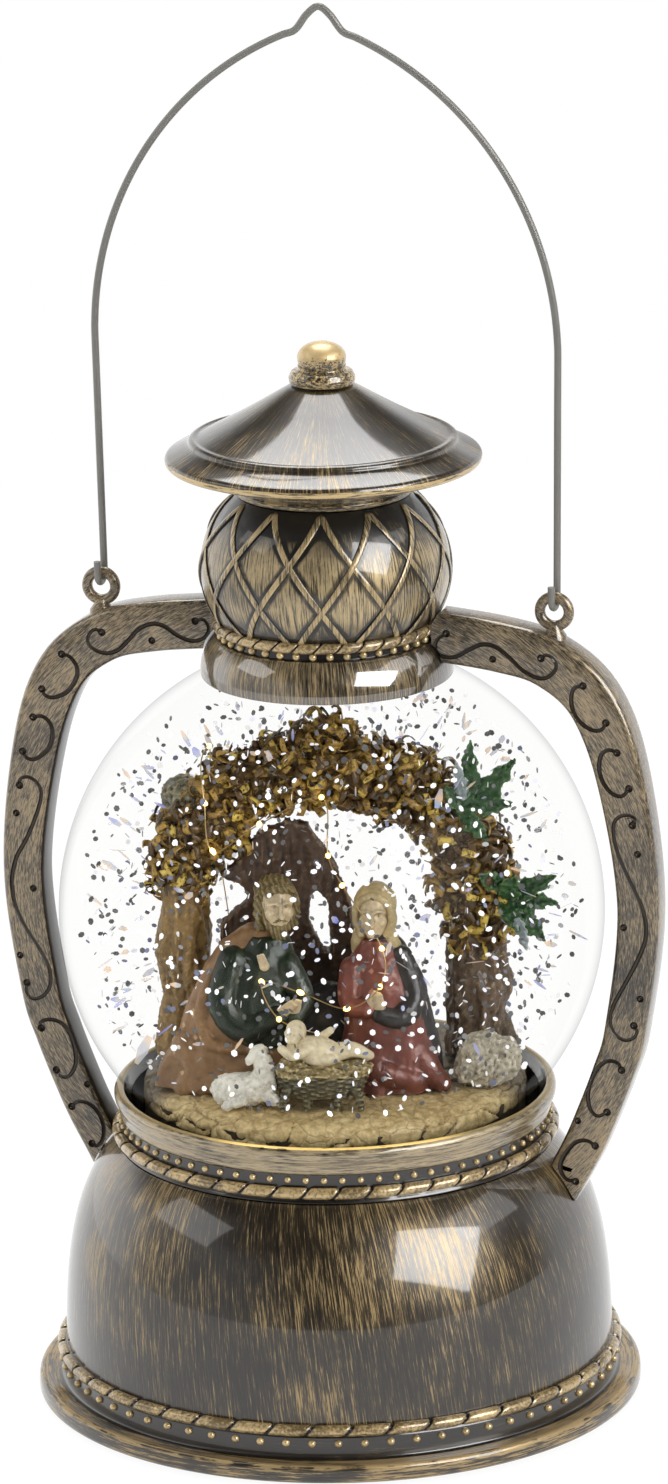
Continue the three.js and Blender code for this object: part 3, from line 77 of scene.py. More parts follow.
turn_round = Matrix.Rotation(TURN, 3, "Z")
look = Vector((0, math.cos(CAMERA_ELEVATION), -math.sin(CAMERA_ELEVATION)))
across = Vector((1, 0, 0))
upward = across.cross(look)
rolled_across = across * math.cos(CAMERA_ROLL) + upward * math.sin(CAMERA_ROLL)
rolled_up = upward * math.cos(CAMERA_ROLL) - across * math.sin(CAMERA_ROLL)
axes = Matrix((rolled_across, rolled_up, -look)).transposed()

camera = in_scene("camera", bpy.data.cameras.new("camera"))
camera.data.lens = LENS
camera.data.sensor_width = 36
camera.data.clip_end = 20
camera.matrix_world = Matrix.Translation(turn_round @ (CAMERA_TARGET - look * CAMERA_DISTANCE)) @ (
    turn_round @ axes
).to_4x4()
bpy.context.scene.camera = camera
bpy.context.scene.view_settings.view_transform = "Standard"
print("camera at mm:", [round(v / MM) for v in camera.location])

# %% [markdown]
# Finishes and grown shapes are both graphs of nodes. Dozens of small maths nodes are hard to read
# as calls, so one class wraps a socket and lets plain arithmetic add them. A second class wraps
# the graph and has one method that adds any other node.

# %% Node helpers
class Wire:
    """An output socket that arithmetic can be written with."""

    def __init__(self, board, socket):
        self.board, self.socket = board, socket

    def out(self, name):
        return Wire(self.board, self.socket.node.outputs[name])

    def maths(self, operation, *others):
        sockets = dict(enumerate((self, *others)))
        return self.board.add("ShaderNodeMath", {"operation": operation}, sockets)

    def __add__(self, other):
        return self.maths("ADD", other)

    def __sub__(self, other):
        return self.maths("SUBTRACT", other)

    def __rsub__(self, other):
        return self.board.add("ShaderNodeMath", {"operation": "SUBTRACT"}, {0: other, 1: self})

    def __mul__(self, other):
        return self.maths("MULTIPLY", other)

    def __truediv__(self, other):
        return self.maths("DIVIDE", other)

    def __pow__(self, other):
        return self.maths("POWER", other)

    __radd__ = __add__
    __rmul__ = __mul__


class Board:
    """A graph of nodes, for a finish or for a grown shape."""

    def __init__(self, graph):
        self.graph = graph

    def add(self, kind, settings=None, sockets=None, out=0):
        node = self.graph.nodes.new(kind)
        for name, value in (settings or {}).items():
            if name == "stops":
                for stop, (place, colour) in zip(self.ramp_stops(node, len(value)), value):
                    stop.position, stop.color = place, (*colour, 1)
            else:
                setattr(node, name, value)
        for key, value in (sockets or {}).items():
            if isinstance(value, Wire):
                self.graph.links.new(value.socket, node.inputs[key])
            else:
                node.inputs[key].default_value = value
        return Wire(self, node.outputs[out]) if node.outputs else node

    @staticmethod
    def ramp_stops(node, count):
        stops = node.color_ramp.elements
        while len(stops) < count:
            stops.new(1)
        return stops

    def vector(self, x, y, z):
        return self.add("ShaderNodeCombineXYZ", {}, {0: x, 1: y, 2: z})

    def step(self, value, low, high, start=0.0, end=1.0):
        """A soft step from start to end as the value goes from low to high."""
        return self.add(
            "ShaderNodeMapRange",
            {"interpolation_type": "SMOOTHSTEP"},
            {0: value, 1: low, 2: high, 3: start, 4: end},
        )

    def noise(self, scale, detail=3.0, rough=0.55, place=None):
        sockets = {"Vector": place or self.place, "Scale": scale, "Detail": detail, "Roughness": rough}
        return self.add("ShaderNodeTexNoise", {}, sockets)

    def blend(self, mask, under, over):
        """Colours mixed by a mask."""
        under, over = ((*c, 1) if isinstance(c, tuple) else c for c in (under, over))
        return self.add("ShaderNodeMix", {"data_type": "RGBA"}, {0: mask, 6: under, 7: over}, out=2)


class Finish(Board):
    """A material under construction."""

    def __init__(self, name):
        self.material = bpy.data.materials.new(name)
        self.material.use_nodes = True
        super().__init__(self.material.node_tree)
        self.graph.nodes.clear()
        self.place = self.add("ShaderNodeTexCoord", out="Object")
        self.x = self.add("ShaderNodeSeparateXYZ", {}, {0: self.place})
        self.y, self.z = self.x.out("Y"), self.x.out("Z")

    def bump(self, height, strength=0.5, depth=0.1):
        return self.add(
            "ShaderNodeBump", {}, {"Height": height, "Strength": strength, "Distance": depth * MM}
        )

    def surface(self, **sockets):
        named = {key.replace("_", " ").title().replace("Ior", "IOR"): value for key, value in sockets.items()}
        if isinstance(named.get("Base Color"), tuple):
            named["Base Color"] = (*named["Base Color"], 1)
        return self.add("ShaderNodeBsdfPrincipled", {}, named)

    def attribute(self, name):
        return self.add("ShaderNodeAttribute", {"attribute_name": name}, out="Fac")

    def done(self, shader=None, **sockets):
        """The finished material, from a shader or from the sockets of one plain surface."""
        self.add("ShaderNodeOutputMaterial", {}, {0: shader or self.surface(**sockets)})
        return self.material


def applied(thing):
    """A plain mesh of an object with its modifiers worked in."""
    return bpy.data.meshes.new_from_object(thing.evaluated_get(bpy.context.evaluated_depsgraph_get()))


print("node helpers ready")

# %% [markdown]
# The lantern stands on a white sheet in a dark studio, with white behind it. A glossy coat shows
# its surroundings, so the dark front of the room, the white sheet below and the white backdrop
# behind matter as much as the lamps. The world answers each kind of ray on its own: white for the
# camera and through glass, a dark front and a white back for gloss, and plain light for the rest.

# %% Floor and world
SHEET_R = 0.7  # white sheet under the lantern
ROOM_DARK = 0.02
PLAIN_LIGHT = 0.6
PANELS = [  # azimuth and elevation, half width and half height, roll, brightness
    (48, 26, 0.33, 0.31, -25, 9.5),
    (180, 61, 0.31, 0.34, 0, 6.0),
    (83, 37, 0.3, 0.17, 0, 1.8),
    (-83, 36, 0.3, 0.17, 0, 1.8),
]

floor_mesh = bpy.data.meshes.new("white_sheet")
shape = bmesh.new()
bmesh.ops.create_circle(shape, cap_ends=True, segments=96, radius=SHEET_R)
shape.to_mesh(floor_mesh)
shape.free()
white_sheet = in_scene("white_sheet", floor_mesh)
sheet = Finish("white_sheet")
rays = sheet.add("ShaderNodeLightPath")
paper = sheet.add("ShaderNodeBsdfDiffuse", {}, {"Color": (0.86, 0.86, 0.86, 1)})
glow = sheet.add("ShaderNodeEmission", {}, {"Color": (1, 1, 1, 1), "Strength": 1.09})
seen = rays.out("Is Camera Ray").maths("MAXIMUM", rays.out("Is Transmission Ray"))
seen = seen.maths("MAXIMUM", rays.out("Is Glossy Ray"))
floor_mesh.materials.append(
    sheet.done(sheet.add("ShaderNodeMixShader", {}, {0: seen * 0.86, 1: paper, 2: glow}))
)

world = bpy.data.worlds.new("studio")
world.use_nodes = True
world.node_tree.nodes.clear()
bpy.context.scene.world = world
studio = Board(world.node_tree)
direction = studio.add("ShaderNodeTexCoord", out="Generated")


def towards(way):
    """How far the looked-up direction goes along a way."""
    return studio.add("ShaderNodeVectorMath", {"operation": "DOT_PRODUCT"}, {0: direction, 1: way}, out="Value")


behind = towards(turn_round @ Vector((0, 1, 0)))
leftwards = towards(turn_round @ Vector((-1, 0, 0)))
upwards = studio.add("ShaderNodeSeparateXYZ", {}, {0: direction}).out("Z")
room = studio.step(behind, -0.05, 0.35) * studio.step(upwards, 0.55, 0.25) + ROOM_DARK
room = room + studio.step(leftwards, 0.2, 0.8) * studio.step(upwards, 0.6, 0.35) * 0.5


def way_to(azimuth, elevation):
    """Angles in radians and the way to them; the azimuth, in degrees, is right of the camera."""
    a, e = math.radians(azimuth) + TURN, math.radians(elevation)
    return a, e, Vector((math.sin(a) * math.cos(e), -math.cos(a) * math.cos(e), math.sin(e)))


def panel_seen(azimuth, elevation, half_width, half_height, roll):
    """A mask of the directions that a flat panel fills, seen from the lantern, in degrees."""
    a, e, middle = way_to(azimuth, elevation)
    r = math.radians(roll)
    right = Vector((math.cos(a), math.sin(a), 0))
    up = Vector((-math.sin(a) * math.sin(e), math.cos(a) * math.sin(e), math.cos(e)))
    sides = (right * math.cos(r) + up * math.sin(r), up * math.cos(r) - right * math.sin(r))
    ahead, *offs = (towards(way) for way in (middle, *sides))
    mask = ahead.maths("GREATER_THAN", 0.0)
    for off, half in zip(offs, (half_width, half_height)):
        mask = mask * studio.step((off / ahead).maths("ABSOLUTE"), half + 0.015, half - 0.015)
    return mask


for panel in PANELS:
    room = room + panel_seen(*panel[:5]) * panel[5]
rays = studio.add("ShaderNodeLightPath")
clear = rays.out("Is Camera Ray").maths("MAXIMUM", rays.out("Is Transmission Ray"))
glossy = rays.out("Is Glossy Ray")
strength = clear + (1 - clear) * (glossy * room + (1 - glossy) * PLAIN_LIGHT)
light = studio.add("ShaderNodeBackground", {}, {"Color": (1, 1, 1, 1), "Strength": strength})
studio.add("ShaderNodeOutputWorld", {}, {0: light})
print("white sheet radius mm:", SHEET_R / MM)

# %% [markdown]
# A softbox is a lit panel. Its reflection has a clear outline in the coat: one panel low on the
# right gives the square patch on the bowl and the spot on the chimney, one overhead gives the pale
# wedge on the roof, and two high at the sides give the patches on the upper collar. Each panel is
# placed by the direction in which the lantern sees it.

# %% Lamps
AIM = Vector((0, 0, 0.11))


def softbox(name, azimuth, elevation, distance, width, height, radiance):
    """A panel seen from the lantern at an azimuth (right of the camera) and elevation, in degrees."""
    lamp = in_scene(name, bpy.data.lights.new(name, "AREA"))
    lamp.data.shape = "RECTANGLE"
    lamp.data.size, lamp.data.size_y = width, height
    lamp.data.energy = radiance * math.pi * width * height
    *_, away = way_to(azimuth, elevation)
    lamp.location = AIM + away * distance
    lamp.rotation_mode = "QUATERNION"
    lamp.rotation_quaternion = away.to_track_quat("Z", "Y")
    lamp.visible_glossy = False  # its reflection is the panel drawn in the world


softbox("panel_right", 46, 13, 0.9, 0.62, 0.46, 1.5)
softbox("panel_left", -50, 22, 1.1, 0.55, 0.7, 1.1)
softbox("panel_overhead", 180, 74, 0.9, 0.52, 0.5, 2.2)
softbox("panel_high_right", 100, 50, 1.0, 0.4, 0.34, 1.6)
softbox("panel_high_left", -100, 50, 1.0, 0.4, 0.34, 1.6)

# %% [markdown]
# Antique brass here is brown-black plastic with gold rubbed over it and a clear gloss coat on top.
# It could be one noise texture, but brushed gold has a direction: up the bowl and the chimney,
# out over the roof, and round the rims. Noise is stretched along that direction, and on a turned
# piece the direction comes from the place itself: the angle round the axis and the way up the side.

# %% Antique brass
GROUND_BROWN = (0.013, 0.009, 0.006)
DEEP_BROWN = (0.008, 0.006, 0.004)
RUBBED_GOLD = (0.45, 0.32, 0.15)
PALE_GOLD = (0.72, 0.53, 0.26)


GLOBE_MIDDLE = 0.09251  # height about which the arms curve


def brushed_place(finish, way, size):
    """Where to look up the brush marks: they run up, round, or along an arm, at a typical radius."""
    fine = 2500.0
    far = (finish.x * finish.x + finish.y * finish.y + 1e-8).maths("SQRT")
    ax, ay = finish.x / far, finish.y / far
    if way == "up":
        run = finish.z - far * 0.7
        lean = run * 2.2
        across_x = (ax - ay * lean) * (size * MM * fine)
        across_y = (ay + ax * lean) * (size * MM * fine)
        return finish.vector(across_x * 1.35, across_y * 1.35, run * 115)
    if way == "round":
        return finish.vector((finish.z + far * 0.8) * (fine * 1.1), ax * 6, ay * 6)
    above = finish.z - GLOBE_MIDDLE
    sweep = (finish.x * finish.x + above * above + 1e-8).maths("SQRT")
    turn = finish.x.maths("ARCTAN2", above) * (size * MM * 420)
    return finish.vector(sweep * (fine * 1.5), finish.y * (fine * 1.5), turn)


def antique(
    name, way, size=50, gold=0.5, tone=RUBBED_GOLD, shade=None, fade=None, glow=0.0, under=0.13, coat_ior=1.5,
    coat=None,
):
    """Gold rubbed over brown. shade masks deep brown, painted shade too; fade masks more gold; glow is painted
    light.
    """
    finish = Finish(name)
    marks = brushed_place(finish, way, size)
    finer = finish.add("ShaderNodeVectorMath", {"operation": "SCALE"}, {0: marks, "Scale": 2.3})
    long_marks = finish.noise(1.0, 4.0, 0.72, marks)
    short_marks = finish.noise(1.0, 3.0, 0.65, finer)
    clouds = finish.noise(55.0, 3.0, 0.6)
    rub = long_marks * 0.62 + short_marks * 0.38 + (clouds - 0.5) * 0.34
    if fade is not None:
        rub = rub + fade(finish) * 0.16
    level = 0.64 - 0.24 * gold
    mask = finish.step(rub, level - 0.01, level + 0.08)
    thin = finish.step(rub, level - 0.11, level + 0.02)
    colour = finish.blend(thin, GROUND_BROWN, tuple(c * under for c in tone))
    colour = finish.blend(mask, colour, tone)
    metal = 0.1 + mask * 0.25
    if shade is not None:
        dark = shade(finish)
        colour = finish.blend(dark, colour, DEEP_BROWN)
        metal = metal * (1 - dark)
    sockets = {"emission_color": colour, "emission_strength": glow} if glow else {}
    gloss = 1.0 - mask * 0.35
    if coat is not None:
        gloss = gloss * coat(finish)
    return finish.done(
        base_color=colour, metallic=metal, roughness=0.32 + mask * 0.16, coat_weight=gloss,
        coat_roughness=0.05, coat_ior=coat_ior, normal=finish.bump(long_marks, 0.3, 0.04), **sockets,
    )


print("brush marks run up, round or along")

# %% [markdown]
# Moulded plastic, plated steel, rubber and dull paint have no direction, only a fine grain and a
# little wear, so one helper with numbers serves them all.

# %% Plain finishes
def plain(name, colour, rough=0.5, metal=0.0, grain=900.0, depth=0.04, coat=0.0, spread=0.3):
    """A plain moulded, plated or painted finish with a fine grain and a little wear."""
    finish = Finish(name)
    fine = finish.noise(grain, 3.0)
    clouds = finish.noise(90.0, 2.0)
    darker = tuple(c * (1 - spread) for c in colour)
    lighter = tuple(min(1, c * (1 + spread * 0.6)) for c in colour)
    colour = finish.blend(finish.step(clouds * 0.6 + fine * 0.4, 0.35, 0.65), darker, lighter)
    return finish.done(
        base_color=colour, metallic=metal, roughness=rough + (fine - 0.5) * 0.2,
        coat_weight=coat, coat_roughness=0.1, normal=finish.bump(fine, 0.3, depth),
    )


bowl_brass = antique("bowl_brass", "up", 50, 0.4, fade=lambda f: f.step(f.z, 0.014, 0.04) * 0.25 - 0.15)
band_dark = antique("band_dark", "round", 50, 0.02, shade=lambda f: f.noise(400.0) * 0.5 + 0.4)
rim_brass = antique("rim_brass", "round", 50, 0.8, PALE_GOLD)
arm_brass = antique("arm_brass", "along", 58, 0.56, (0.42, 0.32, 0.19), under=0.42)
# painted shade: the sides of the arms that face the globe get this dark, dull finish
arm_side = antique("arm_side", "along", 58, 0.1, (0.2, 0.14, 0.08), under=0.2, coat_ior=1.15)
groove_dark = plain("groove_dark", (0.035, 0.024, 0.014), 0.45, 0.2, coat=0.4)
print("brass finishes:", len(bpy.data.materials))

# %% [markdown]
# A turned moulding is an outline spun round the axis. The outline is written as corners with a
# cut for each, and each corner is rounded by a short curve, because a real moulding has no sharp
# edge and the rounded edge is what catches the light. Blender's Screw modifier could spin it; plain
# code also lets each height have its own finish.

# %% Outlines
ROUND_STEPS = 192
CREASE = 32  # degrees; a flatter edge than this shades smooth


def rounded(corners, steps=4):
    """An outline of (radius, height) points from (radius, height, cut) corners."""
    points = []
    for i, corner in enumerate(corners):
        here = np.array(corner[:2], float)
        cut = corner[2] if len(corner) > 2 else 0
        if not cut:
            points.append(tuple(here))
            continue
        ends = []
        for other in (corners[i - 1], corners[(i + 1) % len(corners)]):
            leg = np.array(other[:2], float) - here
            length = np.linalg.norm(leg)
            ends.append(here + leg / length * min(cut, length * 0.48))
        for step in range(steps + 1):
            t = step / steps
            points.append(tuple((1 - t) ** 2 * ends[0] + 2 * t * (1 - t) * here + t**2 * ends[1]))
    return points


def arc(x, z, radius, start, end, steps=8):
    """Points of an arc, angles in degrees."""
    angles = np.radians(np.linspace(start, end, steps + 1))
    return [(x + radius * math.cos(a), z + radius * math.sin(a)) for a in angles]


print("outline helpers ready")

# %% [markdown]
# Each piece is a mesh with its place in its points and its object at the origin. Doubles are merged,
# so the seam and the poles are closed and shade smooth.

# %% Turned pieces
def new_piece(name, points, faces, finishes, body="lantern_body", chooser=None):
    """A mesh piece from points in millimetres. chooser gives a face's finish from its middle."""
    mesh = bpy.data.meshes.new(name)
    mesh.from_pydata([tuple(c * MM for c in p) for p in points], [], faces)
    tidy = bmesh.new()
    tidy.from_mesh(mesh)
    bmesh.ops.remove_doubles(tidy, verts=tidy.verts, dist=0.001 * MM)
    for face in tidy.faces:
        face.smooth = True
        if chooser:
            face.material_index = chooser(face.calc_center_median() / MM)
    tidy.to_mesh(mesh)
    tidy.free()
    mesh.set_sharp_from_angle(angle=math.radians(CREASE))
    for finish in finishes if isinstance(finishes, (list, tuple)) else [finishes]:
        mesh.materials.append(finish)
    piece = in_scene(name, mesh)
    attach(piece, body)
    return piece


def between_rings(rings, sides, wrap=False):
    """Faces from each ring of points to the next, and from the last to the first with wrap."""
    faces = []
    for i in range(rings if wrap else rings - 1):
        for k in range(sides):
            m, j = (k + 1) % sides, (i + 1) % rings
            faces.append((i * sides + k, i * sides + m, j * sides + m, j * sides + k))
    return faces


def turned(name, outline, finishes, chooser=None, steps=ROUND_STEPS):
    """An outline that runs up the outside and down the inside, spun round the axis."""
    points = []
    for r, z in outline:
        for k in range(steps):
            a = 2 * math.pi * k / steps
            points.append((r * math.cos(a), r * math.sin(a), z))
    faces = between_rings(len(outline), steps, wrap=True)
    faces = [face for face in faces if max(outline[p // steps][0] for p in face) > 1e-6]
    return new_piece(name, points, faces, finishes, chooser=chooser)


def span(node):
    """A CAD node's lowest and highest corner, in millimetres."""
    low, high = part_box(node)
    return low / MM, high / MM


print("turned pieces have", ROUND_STEPS, "steps")

# %% [markdown]
# The base shell is one moulding: a foot flange turned outwards, an upright wall that carries a row
# of beads, and a tall bowl that closes over at the top. The bowl's side is a curve with two pulls:
# it leaves the rope ring almost straight up and rolls over into the neck. Inside stand four bosses
# for the case screws, which this turned piece leaves out.

# %% Base shell
_, base_high = span("base_shell")
FLANGE_R = base_high[0]
FLANGE_FOOT, FLANGE_TOP = 0.8, 4.4
BEAD_WALL_R = 51.7
BOWL_FOOT = 10.5
DECK_TOP = base_high[2]
bowl_pulls = [np.array(p) for p in ((51, BOWL_FOOT), (50.8, 26), (49.4, 40.8), (40.2, DECK_TOP))]


def bowl_side(t):
    """A point on the bowl's outer side and the direction out of it, t from the rope ring up."""
    a, b, c, d = bowl_pulls
    at = (1 - t) ** 3 * a + 3 * t * (1 - t) ** 2 * b + 3 * t * t * (1 - t) * c + t**3 * d
    run = (1 - t) ** 2 * (b - a) + 2 * t * (1 - t) * (c - b) + t * t * (d - c)
    run = run / np.linalg.norm(run)
    return at, np.array((run[1], -run[0]))


def bowl_line(offset, start, end, steps):
    points = []
    for t in np.linspace(start, end, steps + 1):
        at, out = bowl_side(t)
        points.append(tuple(at + out * offset))
    return points


base_outline = [
    (49.3, FLANGE_FOOT),
    *rounded([(48, FLANGE_FOOT), (FLANGE_R - 0.1, FLANGE_FOOT, 1.4), (FLANGE_R, 2.6, 0.8),
              (FLANGE_R - 0.3, FLANGE_TOP - 0.1, 1.1), (53.2, FLANGE_TOP - 0.5, 1.0),
              (BEAD_WALL_R, FLANGE_TOP - 0.3, 0.5), (BEAD_WALL_R, BOWL_FOOT - 2.3, 0.2)])[1:],
    (BEAD_WALL_R - 0.3, BOWL_FOOT - 2.0), (BEAD_WALL_R - 0.3, BOWL_FOOT - 0.2),
    *bowl_line(0, 0, 1, 40),
    (14.8, DECK_TOP), (14.8, DECK_TOP - 2.2), (38, DECK_TOP - 2.2),
    *bowl_line(-2.2, 0.8, 0, 12),
    (48.8, 3.1), (49.3, 3.1),
]


def base_zone(middle):
    """Which finish a face has: 0 bowl, 1 bead wall, 2 flange."""
    far = math.hypot(middle.x, middle.y)
    if middle.z > BOWL_FOOT - 2.1:
        return 0
    return 1 if far < 52.4 and middle.z > FLANGE_TOP - 0.6 else 2


flange_brass = antique(
    "flange_brass", "round", 50, 0.55, RUBBED_GOLD, fade=lambda f: f.step(f.z, 0.0034, 0.0042) * 0.4
)
bowl_moulding = turned(
    "base_shell_moulding", base_outline, [bowl_brass, band_dark, flange_brass], base_zone
)
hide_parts("base_shell")
print("base shell faces:", len(bowl_moulding.data.polygons))

# %% [markdown]
# The collars carry the globe. The lower one has a smooth wall that leans out to a rolled lip,
# the upper one is a small flared skirt with a shelf for the chimney. Both have a dark band for
# beads next to a rope ring.

# %% Lower collar
COLLAR_FOOT, COLLAR_INNER_R, COLLAR_WALL_R = 48.9, 37.9, 39.9
collar_outline = rounded([
    (COLLAR_INNER_R, COLLAR_FOOT), (COLLAR_WALL_R + 0.4, COLLAR_FOOT, 0.2), (COLLAR_WALL_R, 49.6, 0.3),
    (COLLAR_WALL_R - 0.2, 51.8, 0.2), (COLLAR_WALL_R - 0.3, 54.2, 0.3),
    (COLLAR_WALL_R + 0.1, 54.5, 0.3), (COLLAR_WALL_R + 0.3, 56.0, 0.8), (40.9, 57.2, 0.7),
    (41.0, 58.6, 0.7), (40.2, 59.4, 0.6), (39.3, 59.4, 0.4), (38.7, 58.4, 0.4), (COLLAR_INNER_R, 57.4),
])
collar_brass = antique("collar_brass", "round", 40, 0.75, (0.5, 0.4, 0.25), under=0.5)


def away_from_front(finish):
    """A mask of painted shade on the lip away from the front; the front keeps the painted light of the lit slab."""
    forward = finish.y * math.cos(TURN) - finish.x * math.sin(TURN)
    return finish.step(forward, -0.0375, -0.031) * 0.8


# painted light: the front of the lip's top is bright yellow gold and glows as if lit by the slab; elsewhere it gets
# painted shade
lip_painted_light = antique("lip_lit", "round", 40, 1.2, (0.95, 0.66, 0.2), shade=away_from_front, glow=0.5)
# painted shade: the inner faces of the lip take the dark band finish, for the shade between lip and globe
lower_moulding = turned(
    "lower_collar_moulding", collar_outline, [collar_brass, band_dark, lip_painted_light],
    lambda m: 1 if m.z < 54.3 or (m.z > 57.3 and m.xy.length < 39.2) else (2 if m.z > 59.1 else 0),
)
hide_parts("lower_collar")
print("lower collar faces:", len(lower_moulding.data.polygons))

# %% Upper collar
UPPER_LIP_R, UPPER_BAND_R = 23.1, 19.8
UPPER_LIP_Z, UPPER_BAND_Z, UPPER_TOP_Z = 137.49, 145.0, 146.89
GLOBE_R, GLOBE_Z = 50.3, 92.51


def on_globe(r, gap=0.3):
    return GLOBE_Z + math.sqrt(GLOBE_R**2 - r**2) + gap


upper_outline = [
    (0, 144.7), (17.6, 144.7), (17.6, 141.3), (21.7, on_globe(21.7)),
    *rounded([(21.9, on_globe(21.9)), (22.75, on_globe(22.75), 0.2), (UPPER_LIP_R, 137.8, 0.3),
              (UPPER_LIP_R + 0.1, 139.4, 1.2), (22.9, 141.2, 1.4), (22.0, 143.1, 1.4),
              (20.7, UPPER_BAND_Z - 0.2, 0.6), (20.2, UPPER_BAND_Z, 0.2),
              (UPPER_BAND_R - 0.3, UPPER_BAND_Z + 0.1, 0.1), (UPPER_BAND_R - 0.4, 146.7, 0.1)])[1:],
    (UPPER_BAND_R - 0.5, UPPER_TOP_Z),
    (0, UPPER_TOP_Z),
]
skirt_brass = antique("skirt_brass", "up", 22, 0.5, (0.46, 0.34, 0.18), under=0.25, coat_ior=2.1)
upper_moulding = turned(
    "upper_collar_moulding", upper_outline, [skirt_brass, band_dark],
    lambda m: 1 if m.z > UPPER_BAND_Z - 0.05 else 0,
)
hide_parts("upper_collar")
print("upper collar faces:", len(upper_moulding.data.polygons))

# %% [markdown]
# The chimney is an onion shape: its side is part of a circle whose middle lies off the axis. The
# cap sits in its mouth with a neck ring, flares out to a brim with a rolled edge, steps up to a
# ridge and closes in a low cone. The finial is a button with a ball on it.

# %% Chimney
CHIMNEY_FOOT, CHIMNEY_TOP = 147.19, 171.6
CHIMNEY_AXIS_R, CHIMNEY_BOW, CHIMNEY_BELLY = 5.7, 17.1, 157.89


def chimney_r(z, offset=0.0):
    return CHIMNEY_AXIS_R + math.sqrt((CHIMNEY_BOW + offset) ** 2 - (z - CHIMNEY_BELLY) ** 2)


heights = np.linspace(CHIMNEY_FOOT, CHIMNEY_TOP, 25)
chimney_outline = [(chimney_r(z), z) for z in heights] + [(chimney_r(z, -2.2), z) for z in heights[::-1]]
LATTICE_BANDS = 12
CROSS_Z, CROSS_ANGLE = 171.4, 14.3  # where two bands cross, in mm and degrees
CLIMB = 1.786  # degrees that a band turns for each millimetre up


def lattice_shadow(finish):
    """Deep brown next to the crossing bands, as patina and painted shade, and darker towards both ends and in random
    patches.
    """
    per_band = LATTICE_BANDS / 360
    turned_by = finish.y.maths("ARCTAN2", finish.x) * (LATTICE_BANDS / (2 * math.pi))
    rise = (finish.z / MM - CROSS_Z) * (CLIMB * per_band)
    masks = []
    for way in (1, -1):
        swing = (turned_by - rise * way - CROSS_ANGLE * per_band + 40.5).maths("FRACT")
        masks.append(finish.step((swing - 0.5).maths("ABSOLUTE"), 0.1, 0.17, 1.0, 0.0))
    # painted shade, with patina: deep brown along both sides of each band
    near = masks[0].maths("MAXIMUM", masks[1])
    high = finish.step(finish.z, 0.1615, 0.1705)
    low = finish.step(finish.z, 0.1535, 0.1485)
    rough = finish.noise(250.0, 4.0, 0.65)
    patches = finish.noise(60.0, 2.0)
    dark = near * 0.75 + high * 1.1 + low * 0.9 + (rough - 0.5) * 1.3 + (patches - 0.5) * 1.2 + 0.08
    return dark.maths("MINIMUM", 1.0).maths("MAXIMUM", 0.0)


chimney_brass = antique("chimney_brass", "up", 22, 0.8, (0.6, 0.46, 0.25), shade=lattice_shadow)
chimney_body = turned("chimney_body", chimney_outline, chimney_brass)
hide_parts("chimney")
print("chimney faces:", len(chimney_body.data.polygons))

# %% Cap
CAP_FOOT, BRIM_R, BRIM_Z, CAP_TOP = 171.8, 28.84, 178.19, 191.59
NECK_RING_R = chimney_r(CHIMNEY_TOP) + 0.3
cap_outline = [
    (0, 187.2), (20.0, 179.1), (20.0, 178.2), (14.6, 174.5),
    (11.5, 168.5), (12.5, 168.5), (12.5, CAP_FOOT),
    *rounded([(12.5, CAP_FOOT), (NECK_RING_R, CAP_FOOT, 0.4), (NECK_RING_R, 172.8, 0.3),
              (NECK_RING_R - 0.25, 173.0, 0.1), (NECK_RING_R + 0.9, 173.4, 0.4), (19.6, 174.3, 1.5),
              (24.4, 176.0, 1.5), (27.6, 177.0, 0.4)])[1:],
    *arc(BRIM_R - 1.1, BRIM_Z, 1.1, -80, 78, 10),
    *rounded([(28.0, 179.3), (25.1, 180.7, 0.8), (24.55, 181.2, 0.2), (24.44, 181.9, 0.4),
              (23.7, 182.25, 0.3), (22.9, 182.0, 0.4), (14.6, 186.4, 3.0), (6.4, 191.3, 0.3),
              (5.6, CAP_TOP, 0.2), (0, CAP_TOP)])[1:],
]


def worn_behind(finish):
    """The coat is worn thinner on the back."""
    return 1 - finish.step(finish.y, 0.001, 0.009) * 0.85


roof_brass = antique("roof_brass", "up", 24, 0.38, coat=worn_behind)
neck_brass = antique("neck_brass", "round", 18, 0.6, (0.5, 0.36, 0.17))
cap_moulding = turned(
    "cap_moulding", cap_outline, [roof_brass, rim_brass, neck_brass],
    lambda m: 2 if m.z < 174.2 else (1 if 177.4 < m.z < 178.6 and math.hypot(m.x, m.y) > 28.3 else 0),
)
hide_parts("cap")
print("cap faces:", len(cap_moulding.data.polygons))

# %% Finial
KNOB_R, KNOB_SHOULDER = 4.45, 196.7
dome = [(KNOB_R * math.cos(a), KNOB_SHOULDER + 2.89 * math.sin(a)) for a in np.radians(np.linspace(0, 90, 14))]
finial_outline = [
    (0, 188.6), (1.2, 188.6), (1.2, 191.89),
    *rounded([(1.2, 191.89), (5.9, 191.89, 0.3), (6.1, 193.1, 0.4), (5.9, 193.5, 0.2), (5.5, 194.3, 0.3),
              (4.5, 194.4, 0.3), (4.2, 194.9, 0.2), (KNOB_R, 195.4, 0.3)])[1:],
    *dome,
]
finial_outline[-1] = (0, finial_outline[-1][1])
finial_brass = antique("finial_brass", "round", 6, 0.62, PALE_GOLD, fade=lambda f: f.step(f.z, 0.1955, 0.1985),
                       coat=worn_behind)
finial_knob = turned("finial_knob", finial_outline, finial_brass, steps=72)
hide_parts("finial")
print("finial faces:", len(finial_knob.data.polygons))

# %% [markdown]
# Beads, twisted ropes and the lattice on the chimney follow rules: so many round the ring, at this
# radius, with that lean. Geometry Nodes states the rule once, with named inputs, and each ring
# gets its own numbers. They could be arrays of copies, but a rope's strands have to run into each
# other without a seam.

